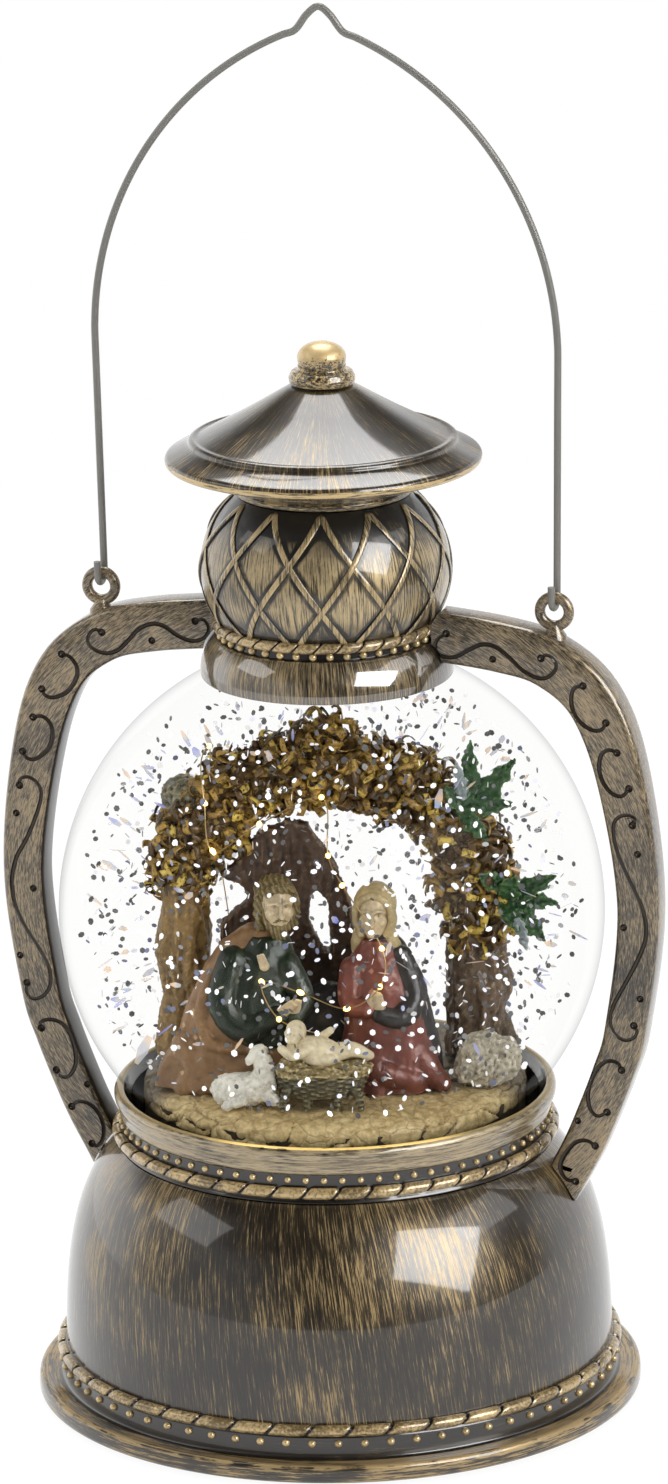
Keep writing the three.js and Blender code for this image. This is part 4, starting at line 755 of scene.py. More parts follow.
# %% Grown shapes
class Growth(Board):
    """A geometry graph with named inputs."""

    kinds = {int: "NodeSocketInt", float: "NodeSocketFloat"}

    def __init__(self, name, **inputs):
        super().__init__(bpy.data.node_groups.new(name, "GeometryNodeTree"))
        face = self.graph.interface
        face.new_socket("Geometry", in_out="OUTPUT", socket_type="NodeSocketGeometry")
        self.inputs = {**inputs, "finish": None}
        self.keys = {
            key: face.new_socket(
                key, in_out="INPUT", socket_type=self.kinds.get(type(value), "NodeSocketMaterial")
            ).identifier
            for key, value in self.inputs.items()
        }
        self.given = self.add("NodeGroupInput")

    def sizes(self):
        """Its inputs, but for the finish, in the order in which they were named."""
        return [self.given.out(key) for key in self.inputs if key != "finish"]

    def place_of(self):
        """The x, y and z of each point."""
        x = self.add("ShaderNodeSeparateXYZ", {}, {0: self.add("GeometryNodeInputPosition")})
        return x, x.out("Y"), x.out("Z")

    def moved(self, geometry, x, y, z):
        return self.add(
            "GeometryNodeSetPosition", {}, {"Geometry": geometry, "Position": self.vector(x, y, z)}
        )

    def marked(self, geometry, name, value, domain="POINT"):
        """The geometry with a number kept on each point or copy, for its finish to read."""
        return self.add("GeometryNodeStoreNamedAttribute", {"data_type": "FLOAT", "domain": domain},
                        {"Geometry": geometry, "Name": name, "Value": value})

    def close(self, geometry):
        real = self.add("GeometryNodeRealizeInstances", {}, {0: geometry})
        dressed = self.add("GeometryNodeSetMaterial", {}, {"Geometry": real, "Material": self.given.out("finish")})
        self.add("NodeGroupOutput", {}, {0: dressed})

    def grow(self, name, finish, smooth=True, skin=None, **values):
        """One mesh piece grown with these values, on a skin if the graph needs one."""
        seedling = in_scene("seedling", skin or bpy.data.meshes.new("seedling"))
        modifier = seedling.modifiers.new("grown", "NODES")
        modifier.node_group = self.graph
        for key, value in {**self.inputs, **values, "finish": finish}.items():
            modifier[self.keys[key]] = value
        seedling.update_tag()
        mesh = applied(seedling)
        bpy.data.objects.remove(seedling)
        mesh.name = name
        for face in mesh.polygons:
            face.use_smooth = smooth
        piece = in_scene(name, mesh)
        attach(piece, "lantern_body")
        return piece


print("growth helper ready")

# %% Bead row
bead_row = Growth("bead_row", count=100, ring_radius=50.0, height=5.0, bead_radius=0.5, squash=1.0)
count, ring_radius, height, bead_radius, squash = bead_row.sizes()
ring = bead_row.add("GeometryNodeMeshCircle", {}, {"Vertices": count, "Radius": ring_radius * MM})
small_ball = bead_row.add("GeometryNodeMeshIcoSphere", {}, {"Radius": bead_radius * MM, "Subdivisions": 2})
beads = bead_row.add(
    "GeometryNodeInstanceOnPoints", {},
    {"Points": ring, "Instance": small_ball, "Scale": bead_row.vector(1.0, 1.0, squash)},
)
lift = bead_row.vector(0.0, 0.0, height * MM)
bead_row.close(bead_row.add("GeometryNodeTransform", {}, {"Geometry": beads, "Translation": lift}))
print("bead row inputs:", list(bead_row.keys))

# %% [markdown]
# A rope ring could be many strands laid side by side, but they would cut into each other. Here one
# grid is bent into a ring, and its skin dips into a groove between the strands. The groove is kept
# as an attribute, so the finish can be brown there.

# %% Twisted rope
twisted_rope = Growth(
    "twisted_rope", strands=58, ring_radius=51.6, height=8.25, strand_radius=1.05, lean=0.9, depth=0.45
)
AROUND, ACROSS = 13, 17
strands, ring_radius, height, strand_radius, lean, depth = twisted_rope.sizes()
grid = twisted_rope.add(
    "GeometryNodeMeshGrid", {}, {"Vertices X": strands * (AROUND - 1) + 1, "Vertices Y": ACROSS}
)
px, py, _ = twisted_rope.place_of()
run = (px + 0.5) * strands
strand = (run + 0.0001).maths("FLOOR")
share = (run - strand).maths("MAXIMUM", 0.0)
share = 0.5 - (share * math.pi).maths("COSINE") * 0.5
edge = share.maths("MINIMUM", 1 - share)
groove = (1 - (edge / 0.12).maths("MINIMUM", 1.0)) ** 2
marked = twisted_rope.marked(grid, "groove", groove)
round_section = (py + 0.5) * (2 * math.pi)
thick = strand_radius * (1 - groove * depth)
out = round_section.maths("COSINE") * thick
rise = round_section.maths("SINE") * thick
turn = (strand + share) / strands * (2 * math.pi)
turn = turn + rise / strand_radius * lean / ring_radius
far = (ring_radius + out) * MM
formed = twisted_rope.moved(
    marked, far * turn.maths("COSINE"), far * turn.maths("SINE"), (height + rise) * MM
)
twisted_rope.close(twisted_rope.add("GeometryNodeMergeByDistance", {}, {"Geometry": formed, "Distance": 0.00001}))
print("rope inputs:", list(twisted_rope.keys))

# %% Rope and bead rings
bright_beads = plain("bright_beads", (0.7, 0.52, 0.25), 0.3, 0.3, 1200, 0.03, 1.0)


def rope_finish():
    """Bright strands with brown in the grooves between them."""
    finish = Finish("rope_brass")
    groove = finish.attribute("groove")
    fine = finish.noise(1800.0, 3.0)
    clouds = finish.noise(130.0, 2.0)
    gold = finish.blend(finish.step(clouds * 0.4 + fine * 0.6, 0.4, 0.6), (0.2, 0.14, 0.06), (0.66, 0.48, 0.23))
    gold = finish.blend(finish.step(groove, 0.12, 0.5), gold, DEEP_BROWN)
    return finish.done(
        base_color=gold, metallic=0.25, roughness=0.34 + (fine - 0.5) * 0.2, coat_weight=0.9,
        coat_roughness=0.08, normal=finish.bump(fine, 0.3, 0.03),
    )


rope_brass = rope_finish()
carriers = {"base": "base_shell", "collar": "lower_collar", "upper": "upper_collar"}
ropes = {  # strands, ring radius, height and strand radius
    "base": (45, 51.6, BOWL_FOOT - 1.05, 1.1), "collar": (44, 40.4, 50.9, 1.1), "upper": (32, 20.0, 147.4, 0.98),
}
bead_rings = {  # count, ring radius, height and bead radius
    "base": (68, 51.8, BOWL_FOOT - 3.45, 0.74), "collar": (75, 39.75, 53.15, 0.62),
    "upper": (40, 19.65, 145.75, 0.72),
}
for place, (strands, radius, height, thick) in ropes.items():
    rope = twisted_rope.grow(
        place + "_rope", rope_brass, strands=strands, ring_radius=radius, height=height, strand_radius=thick
    )
    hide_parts(carriers[place])
for place, (count, radius, height, thick) in bead_rings.items():
    row = bead_row.grow(
        place + "_beads", bright_beads, count=count, ring_radius=radius, height=height, bead_radius=thick
    )
    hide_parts(carriers[place])
print("rope faces:", len(rope.data.polygons), "bead faces:", len(row.data.polygons))

# %% [markdown]
# Two sets of twelve flat bands climb the chimney, one turning right and one turning left, and
# cross in a lattice of diamonds. Each band follows the onion's side a little proud of it. The
# graph makes one band of each way and sets twelve copies round the axis.

# %% Lattice
lattice = Growth("lattice", bands=12, climb=1.8, cross_angle=0.0, proud=0.35, width=1.15)
ALONG, RING = 49, 13
bands, climb, cross_angle, proud, width = lattice.sizes()
grid = lattice.add("GeometryNodeMeshGrid", {}, {"Vertices X": ALONG, "Vertices Y": RING})
px, py, _ = lattice.place_of()
share = px + 0.5
LOW_END, HIGH_END = CHIMNEY_FOOT + 0.45, CHIMNEY_TOP - 0.1
z = share * (HIGH_END - LOW_END) + LOW_END
section = (py + 0.5) * (2 * math.pi)
taper = (share.maths("MINIMUM", 1 - share) * 60).maths("MINIMUM", 1.0)


def squarish(wave):
    """A sine made fuller, for a band with a flat top and rounded edges."""
    return wave.maths("SIGN") * (wave.maths("ABSOLUTE") ** 0.55)


sideways = squarish(section.maths("COSINE")) * taper * width * 0.5
outwards = squarish(section.maths("SINE")) * taper * proud
bow = outwards + CHIMNEY_BOW
far = (bow * bow - (z - CHIMNEY_BELLY) ** 2).maths("SQRT") + CHIMNEY_AXIS_R
angle = (cross_angle + climb * (z - CROSS_Z)).maths("RADIANS")
angle = angle + sideways / math.cos(0.6) / far
marked = lattice.marked(grid, "flank", section.maths("COSINE").maths("ABSOLUTE"))
one_band = lattice.moved(marked, far * angle.maths("COSINE") * MM, far * angle.maths("SINE") * MM, z * MM)
one_band = lattice.add("GeometryNodeMergeByDistance", {}, {"Geometry": one_band, "Distance": 0.00001})
stops = lattice.add("GeometryNodePoints", {}, {"Count": bands})
step_angle = lattice.add("GeometryNodeInputIndex") / bands * (2 * math.pi)
copies = lattice.add(
    "GeometryNodeInstanceOnPoints", {},
    {"Points": stops, "Instance": one_band, "Rotation": lattice.vector(0.0, 0.0, step_angle)},
)
lattice.close(copies)
# painted shade: the flanks at both sides of each band turn deep brown
lattice_brass = antique(
    "lattice_brass", "up", 22, 0.8, (0.6, 0.45, 0.23),
    shade=lambda f: f.step(f.attribute("flank"), 0.62, 0.92),
)
bands_right = lattice.grow(
    "lattice_bands_right", lattice_brass, climb=CLIMB, cross_angle=CROSS_ANGLE, proud=0.42
)
bands_left = lattice.grow(
    "lattice_bands_left", lattice_brass, climb=-CLIMB, cross_angle=CROSS_ANGLE, proud=0.3
)
for bands in (bands_right, bands_left):
    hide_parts("chimney")
print("lattice faces:", len(bands_right.data.polygons))

# %% [markdown]
# Each side arm is a cast-looking bar that leaves the upper collar level, turns down over an elbow,
# bows in round the globe and stands on the bowl. It is a rounded rectangle drawn along one curve.
# The ornament is engraved: scroll lines with curled ends, cut as round grooves into the front and
# the back. The cut is real geometry and not a bump, since the grooves are half a millimetre wide
# and their lower edges catch the light.

# %% Arm route
ARM_DEPTH = 7.0
ARM_STEPS = 90
ARM_ROUND = 1.3  # rounding of the bar's edges
BAR_Z = 146.49
arm_route = np.array([
    (18.8, BAR_Z), (33, BAR_Z - 1.6), (42.5, BAR_Z - 4.2), (50.6, BAR_Z - 11.3), (55.7, BAR_Z - 25.5),
    (58.8, 97.01), (56.2, 74.0), (53.65, 65.0), (49.8, 55.0), (47.6, 50.0), (45.0, 45.0), (42.2, 39.5),
])
print("arm route points:", len(arm_route))

# %% Curves and tubes
def even_curve(route, steps):
    """Evenly spaced points on a smooth curve through the route, with their directions."""
    route = np.asarray(route, float)
    padded = np.vstack((2 * route[0] - route[1], route, 2 * route[-1] - route[-2]))
    dense = []
    for i in range(len(route) - 1):
        a, b, c, d = padded[i : i + 4]
        for t in np.linspace(0, 1, 40, endpoint=False):
            dense.append(0.5 * (2 * b + (c - a) * t + (2 * a - 5 * b + 4 * c - d) * t**2
                                + (3 * b - a - 3 * c + d) * t**3))
    dense = np.array([*dense, route[-1]])
    walked = np.concatenate(([0], np.cumsum(np.linalg.norm(np.diff(dense, axis=0), axis=1))))
    marks = np.linspace(0, walked[-1], steps + 1)
    at = np.stack([np.interp(marks, walked, dense[:, k]) for k in range(dense.shape[1])], 1)
    runs = np.gradient(at, axis=0)
    return at, runs / np.linalg.norm(runs, axis=1)[:, None]


def tube(points, radius, sides=10):
    """Points and faces of a round tube along 3-D points. radius may be a list."""
    points = [Vector(p) for p in points]
    radii = radius if hasattr(radius, "__len__") else [radius] * len(points)
    rings, normal = [], None
    for i, p in enumerate(points):
        run = (points[min(i + 1, len(points) - 1)] - points[max(i - 1, 0)]).normalized()
        if normal is None:
            normal = run.orthogonal().normalized()
        normal = (normal - run * normal.dot(run)).normalized()
        side = run.cross(normal)
        for k in range(sides):
            a = 2 * math.pi * k / sides
            rings.append(p + (normal * math.cos(a) + side * math.sin(a)) * radii[i])
    ends = [tuple(reversed(range(sides))), tuple(range(len(rings) - sides, len(rings)))]
    return [tuple(p) for p in rings], between_rings(len(points), sides) + ends


def merged(*parts):
    """Several (points, faces) put together."""
    points, faces = [], []
    for some_points, some_faces in parts:
        faces += [tuple(i + len(points) for i in face) for face in some_faces]
        points += list(some_points)
    return points, faces


print("curve helpers ready")

# %% Arm bar
def arm_shape(side):
    """The bar of one arm, side 1 for right and -1 for left."""
    at, runs = even_curve(arm_route, ARM_STEPS)
    share = np.linspace(0, 1, ARM_STEPS + 1)
    widths = np.interp(share, [0, 0.3, 0.42, 0.55, 1], [9.4, 9.4, 8.7, 7.9, 7.3])
    points = []
    half_depth = ARM_DEPTH / 2
    for (x, z), (rx, rz), width in zip(at, runs, widths):
        half = width / 2
        section = []
        for cx, cy, start in (
            (half - ARM_ROUND, half_depth - ARM_ROUND, 0), (-half + ARM_ROUND, half_depth - ARM_ROUND, 90),
            (-half + ARM_ROUND, -half_depth + ARM_ROUND, 180), (half - ARM_ROUND, -half_depth + ARM_ROUND, 270),
        ):
            section += arc(cx, cy, ARM_ROUND, start, start + 90, 4)
        for across_by, depth_by in section:
            points.append((side * (x + rz * across_by), side * depth_by, z - rx * across_by))
    ring = len(section)
    faces = [(a, d, c, b) for a, b, c, d in between_rings(ARM_STEPS + 1, ring)]
    faces.append(tuple(range(ring)))
    faces.append(tuple(reversed(range(ARM_STEPS * ring, (ARM_STEPS + 1) * ring))))
    return points, faces


print("arm steps:", ARM_STEPS)

# %% [markdown]
# Grooves and holes are cut as a file or a drill would cut them: a helper object is taken away from
# the piece by a boolean, and then removed. The cutters go one after another, because a union of
# crossing cutters is easily left open.

# %% Carving
def flat_spin(outline, steps=96):
    """A closed turned solid as plain points and faces, to cut with."""
    points = []
    for r, z in outline:
        points += [(r * math.cos(a), r * math.sin(a), z) for a in np.linspace(0, 2 * math.pi, steps, False)]
    return points, between_rings(len(outline), steps)


def spare(name, shape, finish=None):
    """A helper object that is removed again."""
    mesh = bpy.data.meshes.new(name)
    mesh.from_pydata([tuple(c * MM for c in p) for p in shape[0]], [], shape[1])
    tidy = bmesh.new()
    tidy.from_mesh(mesh)
    bmesh.ops.remove_doubles(tidy, verts=tidy.verts, dist=1e-7)
    bmesh.ops.recalc_face_normals(tidy, faces=tidy.faces)
    tidy.to_mesh(mesh)
    tidy.free()
    if finish:
        mesh.materials.append(finish)
    return in_scene(name, mesh)


def carve(piece, *cutters):
    """Cut helper objects out of a piece, one after another, and remove them."""
    for cutter in cutters:
        modifier = piece.modifiers.new("carve", "BOOLEAN")
        modifier.operation, modifier.object = "DIFFERENCE", cutter
        modifier.solver, modifier.material_mode = "EXACT", "TRANSFER"
        modifier.use_self = cutter.name.startswith("scroll")
        bpy.context.view_layer.update()
        mesh = applied(piece)
        piece.modifiers.clear()
        old, name = piece.data, piece.data.name
        piece.data = mesh
        bpy.data.meshes.remove(old)
        mesh.name = name
        print("  carved with", cutter.name, "faces:", len(mesh.polygons))
        bpy.data.objects.remove(cutter)


print("carving helpers ready")

# %% Scroll lines
# Scroll lines in millimetres on the face of each arm, and the dots of the drill between them
RIGHT_SCROLLS = [
    [(23.6, 147.2), (22, 146.1), (21.5, 144.4), (22.6, 143), (25.1, 142.9),
     (28.1, 144.6), (30.5, 145.6), (32.9, 145.2), (35.4, 143.4), (37.8, 141.2), (40.6, 139.9),
     (42.6, 140.2), (44.1, 141.9), (43.7, 143.6), (42.3, 144.3), (41.3, 143.6)],
    [(49.1, 138.9), (47.5, 138.4), (46.9, 136.4), (47.3, 133.9), (48.6, 132), (50.8, 130.7),
     (52.5, 130.9), (53.3, 132.2)],
    [(55.3, 126.7), (53.8, 127.2), (52.4, 126.1), (52, 123.6), (52.6, 121.2), (54.2, 119.1),
     (56.2, 118.6), (57.5, 120.1)],
    [(58.1, 113.2), (58.7, 114.3), (57.6, 115.1), (55.7, 114.7), (54.6, 113.2), (54.7, 110.3),
     (55.7, 106.7), (57.3, 103.1), (58.3, 101), (59.8, 97.7), (60.5, 94.4), (60.3, 91.4),
     (58.8, 87.5), (56.5, 83), (54.4, 79), (53.6, 76), (54.3, 73.5), (56.2, 72.2), (58, 72.7),
     (58.7, 74.1), (58.1, 75.1)],
    [(55.7, 66.4), (55, 67.7), (53.2, 68), (51.5, 66.8), (50, 64.1), (49.3, 61.1), (49.8, 58.3),
     (51.2, 57.2), (52.9, 58.1)],
    [(50.6, 51.4), (49, 52.3), (46.9, 51.8), (45.1, 49.7), (44, 47.5), (44.1, 45.9), (45.1, 44.5),
     (46.8, 44.2)],
]
RIGHT_DOTS = [(32.3, 142.9), (59, 107.8), (56.3, 93.7), (59.3, 80.3), (47.3, 56)]
LEFT_SCROLLS = [
    [(-24, 146.8), (-22.4, 147.2), (-21.4, 145.5), (-22.5, 143.6), (-24.9, 143), (-27.7, 144),
     (-30, 145.5), (-32.3, 145.8), (-34.9, 144.6), (-37.1, 142.2), (-39.3, 140.2), (-41.9, 139.7),
     (-44.4, 140.9), (-44.7, 142.6), (-43.4, 144.1), (-42, 143.6)],
    [(-49.9, 139), (-48.3, 138.6), (-47, 136.7), (-47.2, 134.5), (-49, 131.9), (-51.7, 130.6),
     (-53.4, 131), (-53.9, 132.1)],
    [(-55.8, 126.6), (-54, 126.9), (-52.4, 125.5), (-52.1, 123.3), (-53, 120.7), (-55.5, 118.6),
     (-57.3, 118.7), (-58, 119.9)],
    [(-58.8, 113.3), (-58.6, 114.6), (-56.9, 115), (-55.3, 113.9), (-54.6, 112), (-55.6, 108.1),
     (-57.7, 103.2), (-59.8, 99.4), (-60.8, 95.6), (-60.8, 92.9), (-60.2, 89.5), (-58.2, 85.3),
     (-55.7, 81.5), (-54.1, 78.2), (-53.9, 75.1), (-55.2, 72.8), (-57.3, 71.9), (-58.6, 73),
     (-58.5, 75)],
    [(-55.9, 66.3), (-56.1, 67.4), (-54.4, 68.1), (-52.2, 67.7), (-50.5, 65.8), (-49.5, 62.8),
     (-49.4, 59.7), (-50.7, 57.3), (-52.4, 57.1), (-53.2, 58.3)],
    [(-50.4, 51.3), (-49.1, 52.4), (-46.9, 52.1), (-45.1, 50.4), (-44.2, 47.8), (-44.5, 45.2),
     (-45.7, 43.9), (-46.6, 44.3)],
]
LEFT_DOTS = [(-32.4, 142.6), (-59.6, 107.9), (-56.7, 93.5), (-59.7, 80.3), (-47.2, 55.9)]
print("scroll lines:", len(RIGHT_SCROLLS) + len(LEFT_SCROLLS))

# %% Engraving
def engraving(name, lines, dots, face_y):
    """Round grooves along scroll lines on the face at face_y, with a drilled dot at each end."""
    parts = []
    for line in lines:
        at, _ = even_curve(line, 4 * (len(line) - 1))
        radii = 0.34 + 0.12 * np.sin(np.linspace(0, math.pi, len(at)))
        parts.append(tube([(x, face_y, z) for x, z in at], radii, 8))
        dots = [*dots, tuple(at[0]), tuple(at[-1])]
    for i, (x, z) in enumerate(dots):
        r = 0.7 if i < 5 else 0.76
        spun = flat_spin([(max(b, 0), h) for b, h in arc(0, 0, r, -90, 90, 6)], 10)
        parts.append(([(x + p[0], face_y + p[2], z + p[1]) for p in spun[0]], spun[1]))
    return spare(name, merged(*parts), groove_dark)


bowl_cutter = [(0, BOWL_FOOT), *bowl_line(0.3, 0, 1, 40), (36, DECK_TOP + 0.3), (0, DECK_TOP + 0.3)]
collar_cutter = [
    (0, UPPER_LIP_Z), (UPPER_LIP_R + 0.3, UPPER_LIP_Z), (UPPER_LIP_R + 0.4, 139.8), (22.4, 143.4),
    (UPPER_BAND_R + 1.3, 145.0), (UPPER_BAND_R + 1.3, CHIMNEY_FOOT + 1.0),
    *[(chimney_r(z, 0.9), z) for z in np.linspace(CHIMNEY_FOOT + 1.5, CHIMNEY_TOP, 12)], (0, CHIMNEY_TOP),
]


def eye_ring(side):
    """The ring that the bail hooks through, with its short neck."""
    x, z = side * 43, 151.59
    points = []
    for i in range(36):
        a = 2 * math.pi * i / 36
        for k in range(12):
            b = 2 * math.pi * k / 12
            r = 2.7 + 1.0 * math.cos(b)
            points.append((x + r * math.cos(a), 1.0 * math.sin(b), z + r * math.sin(a)))
    faces = [(a, d, c, b) for a, b, c, d in between_rings(36, 12, wrap=True)]
    neck = tube([(x, 0, 143.5), (x, 0, 147.2), (x, 0, 148.2), (x, 0, 149.2)], [2.6, 2.2, 1.5, 1.2], 16)
    return merged((points, faces), neck)


print("cutter points:", len(bowl_cutter), len(collar_cutter))

# %% Both arms
def full_arm(side, lines, dots):
    name = "right_arm" if side > 0 else "left_arm"
    piece = spare(name + "_casting", arm_shape(side), arm_brass)
    front = engraving("scroll_front", lines, dots, -ARM_DEPTH / 2)
    back = engraving("scroll_back", lines, dots, ARM_DEPTH / 2)
    bowl = spare("bowl_cutter", flat_spin(bowl_cutter))
    collar = spare("collar_cutter", flat_spin(collar_cutter))
    carve(piece, bowl, collar, front, back)
    piece.data.materials.append(arm_side)
    for face in piece.data.polygons:
        face.use_smooth = True
        # painted shade: side faces that face the globe take the dark side finish
        inwards = Vector((0, 0, GLOBE_Z)) * MM - face.center
        if face.material_index == 0 and abs(face.normal.y) < 0.75 and face.normal.dot(inwards) > 0:
            face.material_index = len(piece.data.materials) - 1
    piece.data.set_sharp_from_angle(angle=math.radians(38))
    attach(piece, "lantern_body")
    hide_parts(name)
    eye = new_piece(name + "_eye", *eye_ring(side), arm_brass)
    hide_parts(name)
    return piece


for side, lines, dots in ((1, RIGHT_SCROLLS, RIGHT_DOTS), (-1, LEFT_SCROLLS, LEFT_DOTS)):
    print("arm faces:", len(full_arm(side, lines, dots).data.polygons))

# %% [markdown]
# The bail is one piece of steel wire: a small hook through each eye, a straight leg, a near
# half-round arch and a gentle peak at the top where it hangs. A bevelled curve object would look the
# same; a tube of points can also be measured.

# %% Bail
EYE_X, HINGE_Z, WIRE_R, HOOK_R = 43.0, 154.29, 0.675, 2.0


def bail_line():
    half = [(EYE_X, -HOOK_R, 2.3)]
    half += [(EYE_X, HOOK_R * math.cos(a), HOOK_R * math.sin(a)) for a in np.linspace(math.pi, 2 * math.pi, 15)]
    half += [(EYE_X + 0.6 * s, HOOK_R, 44.2 * s) for s in (0.05, 0.1, 0.3, 0.55, 0.8, 1)]
    middle_x = EYE_X + 0.6 - 60.3
    tall = 60.3 * 1.02
    end = math.acos((4.4 - middle_x) / 60.3)
    half += [(middle_x + 60.3 * math.cos(a), HOOK_R, 44.2 + tall * math.sin(a)) for a in np.linspace(end / 30, end,
                                                                                                     30)]
    peak = 44.2 + tall * math.sin(end) + 4.4
    half.append((2.2, HOOK_R, peak - 4.4 * 0.35))
    other = [(-x, y, z) for x, y, z in reversed(half)]
    return [(x, y, z + HINGE_Z) for x, y, z in [*half, (0, HOOK_R, peak), *other]]


bail_route, _ = even_curve(bail_line(), 420)
wire_steel = plain("wire_steel", (0.25, 0.24, 0.22), 0.5, 0.2, 150, 0.003, 0.2, 0.06)
bail_wire = new_piece("bail_wire", *tube(bail_route, WIRE_R, 12), wire_steel, body="bail_body")
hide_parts("bail")
print("bail wire length mm:", round(sum(math.dist(a, b) for a, b in zip(bail_route, bail_route[1:]))))

# %% [markdown]
# The globe is blown glass with a cylindrical neck. Round glass full of water would bend the scene
# like a lens; the frame already holds the figures at the size they show, so the glass only
# reflects and tints: clear in the middle, grey towards the edge where the eye looks along the wall.

# %% Globe glass
def shell_finish(name, reflects):
    """Glass that lets light straight through, with a grey edge and a soft reflection."""
    finish = Finish(name)
    facing = finish.add("ShaderNodeLayerWeight", {}, {"Blend": 0.5}, out="Facing")
    haze = finish.noise(40.0, 2.0)
    edge = finish.step(facing + (haze - 0.5) * 0.05, 0.72, 1.0)
    tint = finish.blend(edge, (0.972, 0.972, 0.968), (0.8, 0.805, 0.8)) if reflects else (1, 1, 1, 1)
    clear_through = finish.add("ShaderNodeBsdfTransparent", {}, {"Color": tint})
    if not reflects:
        return finish.done(clear_through)
    mirror = finish.add("ShaderNodeBsdfGlossy", {}, {"Color": (1, 1, 1, 1), "Roughness": 0.03})
    fresnel = finish.add("ShaderNodeFresnel", {}, {"IOR": 1.3})
    camera_side = 1 - finish.add("ShaderNodeNewGeometry").out("Backfacing")
    share = (fresnel * 0.15).maths("MINIMUM", 0.08) * camera_side
    return finish.done(finish.add("ShaderNodeMixShader", {}, {0: share, 1: clear_through, 2: mirror}))


glass_outside = shell_finish("glass_outside", True)
glass_inside = shell_finish("glass_inside", False)
NECK_R, NECK_FOOT, NECK_TOP = 37.6, 50.2, 59.1
joint = math.degrees(math.asin((NECK_TOP - GLOBE_Z) / GLOBE_R))
inner_joint = -math.degrees(math.acos((NECK_R - 2) / (GLOBE_R - 2)))
globe_outline = [
    (NECK_R - 2, NECK_FOOT), (NECK_R - 0.3, NECK_FOOT), (NECK_R, NECK_FOOT + 0.3), (NECK_R, NECK_TOP - 0.4),
    *arc(0, GLOBE_Z, GLOBE_R, joint + 0.6, 90, 72),
    *arc(0, GLOBE_Z, GLOBE_R - 2, 90, inner_joint, 60),
]
globe_outline = [(max(r, 0) if r > 1e-4 else 0, z) for r, z in globe_outline]
globe_glass = turned(
    "globe_bubble", globe_outline, [glass_outside, glass_inside],
    lambda m: 1 if (m - Vector((0, 0, GLOBE_Z))).length < GLOBE_R - 1 else 0,
)
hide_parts("globe_glass")
print("globe faces:", len(globe_glass.data.polygons))

# %% [markdown]
# Everything in the globe is cast resin, painted by hand. Such pieces start as modelling clay, so
# here they are made the same way: simple lumps are pressed together, the skin is drawn over them
# by a voxel remesh, softened, and worked over with small dents and folds. Sculpting by hand would
# do the same, but lumps with numbers can be moved when a head sits wrong.

# %% Lumps, limbs and robes
GROUND_Z = 62.3  # what stands on the ground starts here


def leaned(*degrees):
    """A turn by three angles, about X, then Y, then Z."""
    x, y, z = (Matrix.Rotation(math.radians(angle), 3, axis) for angle, axis in zip(degrees, "XYZ"))
    return z @ y @ x


def lump(x, y, z, a, b, c, lean=(0, 0, 0), sides=20, rows=12):
    """An egg with three radii, leaned by angles in degrees."""
    turn = leaned(*lean)
    points = []
    for i in range(rows + 1):
        up = math.pi * i / rows
        for k in range(sides):
            at = 2 * math.pi * k / sides
            p = Vector((a * math.sin(up) * math.cos(at), b * math.sin(up) * math.sin(at), -c * math.cos(up)))
            points.append(tuple(turn @ p + Vector((x, y, z))))
    return points, between_rings(rows + 1, sides)


def limb(route, radii, sides=14):
    """A round limb through a few points, with a radius at each."""
    route = np.asarray(route, float)
    marks = np.linspace(0, len(route) - 1, 8 * (len(route) - 1) + 1)
    at, _ = even_curve(route, len(marks) - 1)
    thick = np.interp(np.linspace(0, len(route) - 1, len(marks)), range(len(route)), radii)
    shape = tube([tuple(p) for p in at], thick, sides)
    ends = [lump(*route[i], *([radii[i]] * 3), sides=sides, rows=8) for i in (0, -1)]
    return merged(shape, *ends)


def robe(rings, folds=0, depth=0.0, sides=64, seed=0.0):
    """Cloth round a body: rings of (x, y, z, half width, half depth), with folds that run down."""
    rings = np.asarray(rings, float)
    points = []
    levels = np.linspace(0, len(rings) - 1, 10 * (len(rings) - 1) + 1)
    for level in levels:
        x, y, z, a, b = (np.interp(level, range(len(rings)), rings[:, k]) for k in range(5))
        low = 1 - level / (len(rings) - 1)
        for k in range(sides):
            at = 2 * math.pi * k / sides
            wave = math.sin(folds * at + seed + low * 1.3)
            wave += 0.5 * math.sin(folds * 1.7 * at + seed * 2.1 - low * 2)
            swell = 1 + depth * wave * (0.25 + 0.75 * low)
            points.append((x + a * swell * math.cos(at), y + b * swell * math.sin(at), z))
    ends = [tuple(reversed(range(sides))), tuple(range(len(points) - sides, len(points)))]
    return points, between_rings(len(levels), sides) + ends


print("lump, limb and robe ready")

# %% Clay skin
def rough(p, size, seed=0.0):
    """Turbulent noise about zero at a point in millimetres, for lumps of a size."""
    return noise.fractal(Vector(p) / size + Vector((seed, seed * 1.7, -seed)), 0.9, 2.1, 4)


def clay(name, lumps, finish, node, grain=0.35, soft=4, work=None):
    """Lumps in the scene's own frame made into one skin. work(p, n) moves a point along n, in mm."""
    helper = spare(name, merged(*lumps))
    skin = helper.modifiers.new("skin", "REMESH")
    skin.mode, skin.voxel_size = "VOXEL", grain * MM
    smooth = helper.modifiers.new("soft", "SMOOTH")
    smooth.iterations, smooth.factor = soft, 0.5
    bpy.context.view_layer.update()
    mesh = applied(helper)
    bpy.data.objects.remove(helper)
    if work:
        normals = [v.normal.copy() for v in mesh.vertices]
        for v, n in zip(mesh.vertices, normals):
            v.co += n * (work(v.co / MM, n) * MM)
    mesh.transform(Matrix.Rotation(TURN, 4, "Z"))
    mesh.name = name
    for face in mesh.polygons:
        face.use_smooth = True
    mesh.materials.append(finish)
    piece = in_scene(name, mesh)
    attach(piece, "lantern_body")
    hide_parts(node)
    return piece


print("finest clay grain mm: 0.15")

# %% [markdown]
# Painted resin has a dark wash that ran into the hollows and a pale brush that touched only the
# tips. The Geometry node's Pointiness knows both places, so no picture has to be painted.

